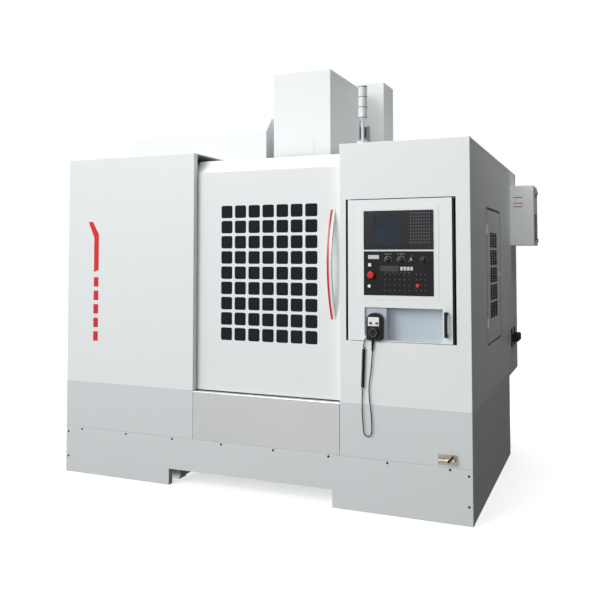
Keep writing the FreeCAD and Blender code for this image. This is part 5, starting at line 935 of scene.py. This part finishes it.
# ------------------------------------------------------------------ air valve
# Nickel-plated brass ball valve, worn through in patches, on a bright screwed plate. Its flat
# lever is black.
valve = Shade("valve_nickel")
rub = valve.noise(120.0, detail=3.0)
nickel = valve.blend(rub * 0.6, (0.60, 0.59, 0.56), (0.48, 0.38, 0.20))
dress(("air_valve",), valve.close({"Base Color": nickel, "Metallic": 1.0,
                                   "Roughness": rub * 0.2 + 0.2,
                                   "Normal": valve.bump(rub, 0.06, 0.0004)}))

# ------------------------------------------------------------------ signal tower
# Light grey post with three clear ribbed lenses between dark rings, the lamps inside unlit.
# The ribs are painted in light and dark bands as painted highlight and shade.
TOWER_SEAT = 2.240
LENS_STEP = 0.060
RING_SHARE = 0.067
LENS_RIB = 0.0025
lens = Shade("tower_finish")
level = (lens.axis("Z") - TOWER_SEAT) / LENS_STEP
on_post = (level < 0.0)
ring = (level.maths("FRACT", level) < RING_SHARE) * (level > 0.0)
ribs = (lens.axis("Z") / LENS_RIB).fold()
# Light and dark bands along the ribs: painted highlight and shade on the lenses.
clear = lens.blend(ribs * 0.5, (0.80, 0.82, 0.83), (0.60, 0.63, 0.64))
post = lens.blend(on_post, clear, (0.66, 0.68, 0.69))
dress(("signal_tower",), lens.close({"Base Color": lens.blend(ring, post, (0.10, 0.10, 0.11)),
                                     "Roughness": lens.noise(60.0) * 0.1 + 0.15,
                                     "Normal": lens.bump(ribs, 0.3, 0.0006)}))

# ------------------------------------------------------------------ floor and lights
# Pale seamless floor with a faint glow, and white behind. A large soft light stands on the left,
# with smaller ones in front, above and over the right side. The room is dimmer to the right.
FLOOR_HALF = 30.0
FLOOR_GLOW = 0.6
ROOM_SPAN = (-0.05, 0.35)
ROOM_LIGHT = (0.68, 0.05)
floor_mesh = bpy.data.meshes.new("floor")
corners = [(-FLOOR_HALF, -FLOOR_HALF, 0.0), (FLOOR_HALF, -FLOOR_HALF, 0.0),
           (FLOOR_HALF, FLOOR_HALF, 0.0), (-FLOOR_HALF, FLOOR_HALF, 0.0)]
floor_mesh.from_pydata(corners, [], [(0, 1, 2, 3)])
floor = bpy.data.objects.new("floor", floor_mesh)
bpy.context.collection.objects.link(floor)
plain = Shade("floor_paint")
paint = plain.close({"Base Color": (0.93, 0.935, 0.94, 1.0), "Roughness": 0.7,
                     "Emission Color": (1.0, 1.0, 1.0, 1.0), "Emission Strength": FLOOR_GLOW})
floor_mesh.materials.append(paint)
floor.visible_glossy = False
floor.visible_diffuse = False


def soft_light(name, place, aim, size, power):
    """Square area light that faces a point."""
    data = bpy.data.lights.new(name, "AREA")
    data.size, data.energy = size, power
    lamp = bpy.data.objects.new(name, data)
    lamp.location = place
    lamp.rotation_euler = (Vector(aim) - Vector(place)).to_track_quat("-Z", "Y").to_euler()
    bpy.context.collection.objects.link(lamp)


soft_light("key", (-3.0, -7.5, 4.6), (0.0, -0.6, 0.9), 3.5, 295.0)
soft_light("front_right", (2.1, -8.0, 2.8), (1.4, 0.0, 1.7), 1.5, 95.0)
soft_light("top", (-0.5, 0.5, 6.5), (-0.3, 0.0, 1.0), 5.0, 190.0)
soft_light("side_top", (2.7, 0.2, 3.6), (1.3, 0.2, 2.1), 1.0, 13.0)
world = bpy.data.worlds.new("studio")
world.use_nodes = True
tree = world.node_tree
tree.nodes.clear()
split = tree.nodes.new("ShaderNodeSeparateXYZ")
tree.links.new(tree.nodes.new("ShaderNodeTexCoord").outputs["Generated"], split.inputs[0])
ramp = tree.nodes.new("ShaderNodeMapRange")
ramp.interpolation_type = "SMOOTHSTEP"
for label, value in zip(("From Min", "From Max", "To Min", "To Max"), ROOM_SPAN + ROOM_LIGHT):
    ramp.inputs[label].default_value = value
tree.links.new(split.outputs["X"], ramp.inputs["Value"])
studio = tree.nodes.new("ShaderNodeBackground")
studio.inputs["Color"].default_value = (0.985, 1.0, 1.0, 1.0)
tree.links.new(ramp.outputs["Result"], studio.inputs["Strength"])
backdrop = tree.nodes.new("ShaderNodeBackground")
backdrop.inputs["Color"].default_value = (1.0, 1.0, 1.0, 1.0)
mix = tree.nodes.new("ShaderNodeMixShader")
tree.links.new(tree.nodes.new("ShaderNodeLightPath").outputs["Is Camera Ray"], mix.inputs[0])
tree.links.new(studio.outputs[0], mix.inputs[1])
tree.links.new(backdrop.outputs[0], mix.inputs[2])
tree.links.new(mix.outputs[0], tree.nodes.new("ShaderNodeOutputWorld").inputs["Surface"])
bpy.context.scene.world = world
bpy.context.scene.view_settings.view_transform = "Standard"
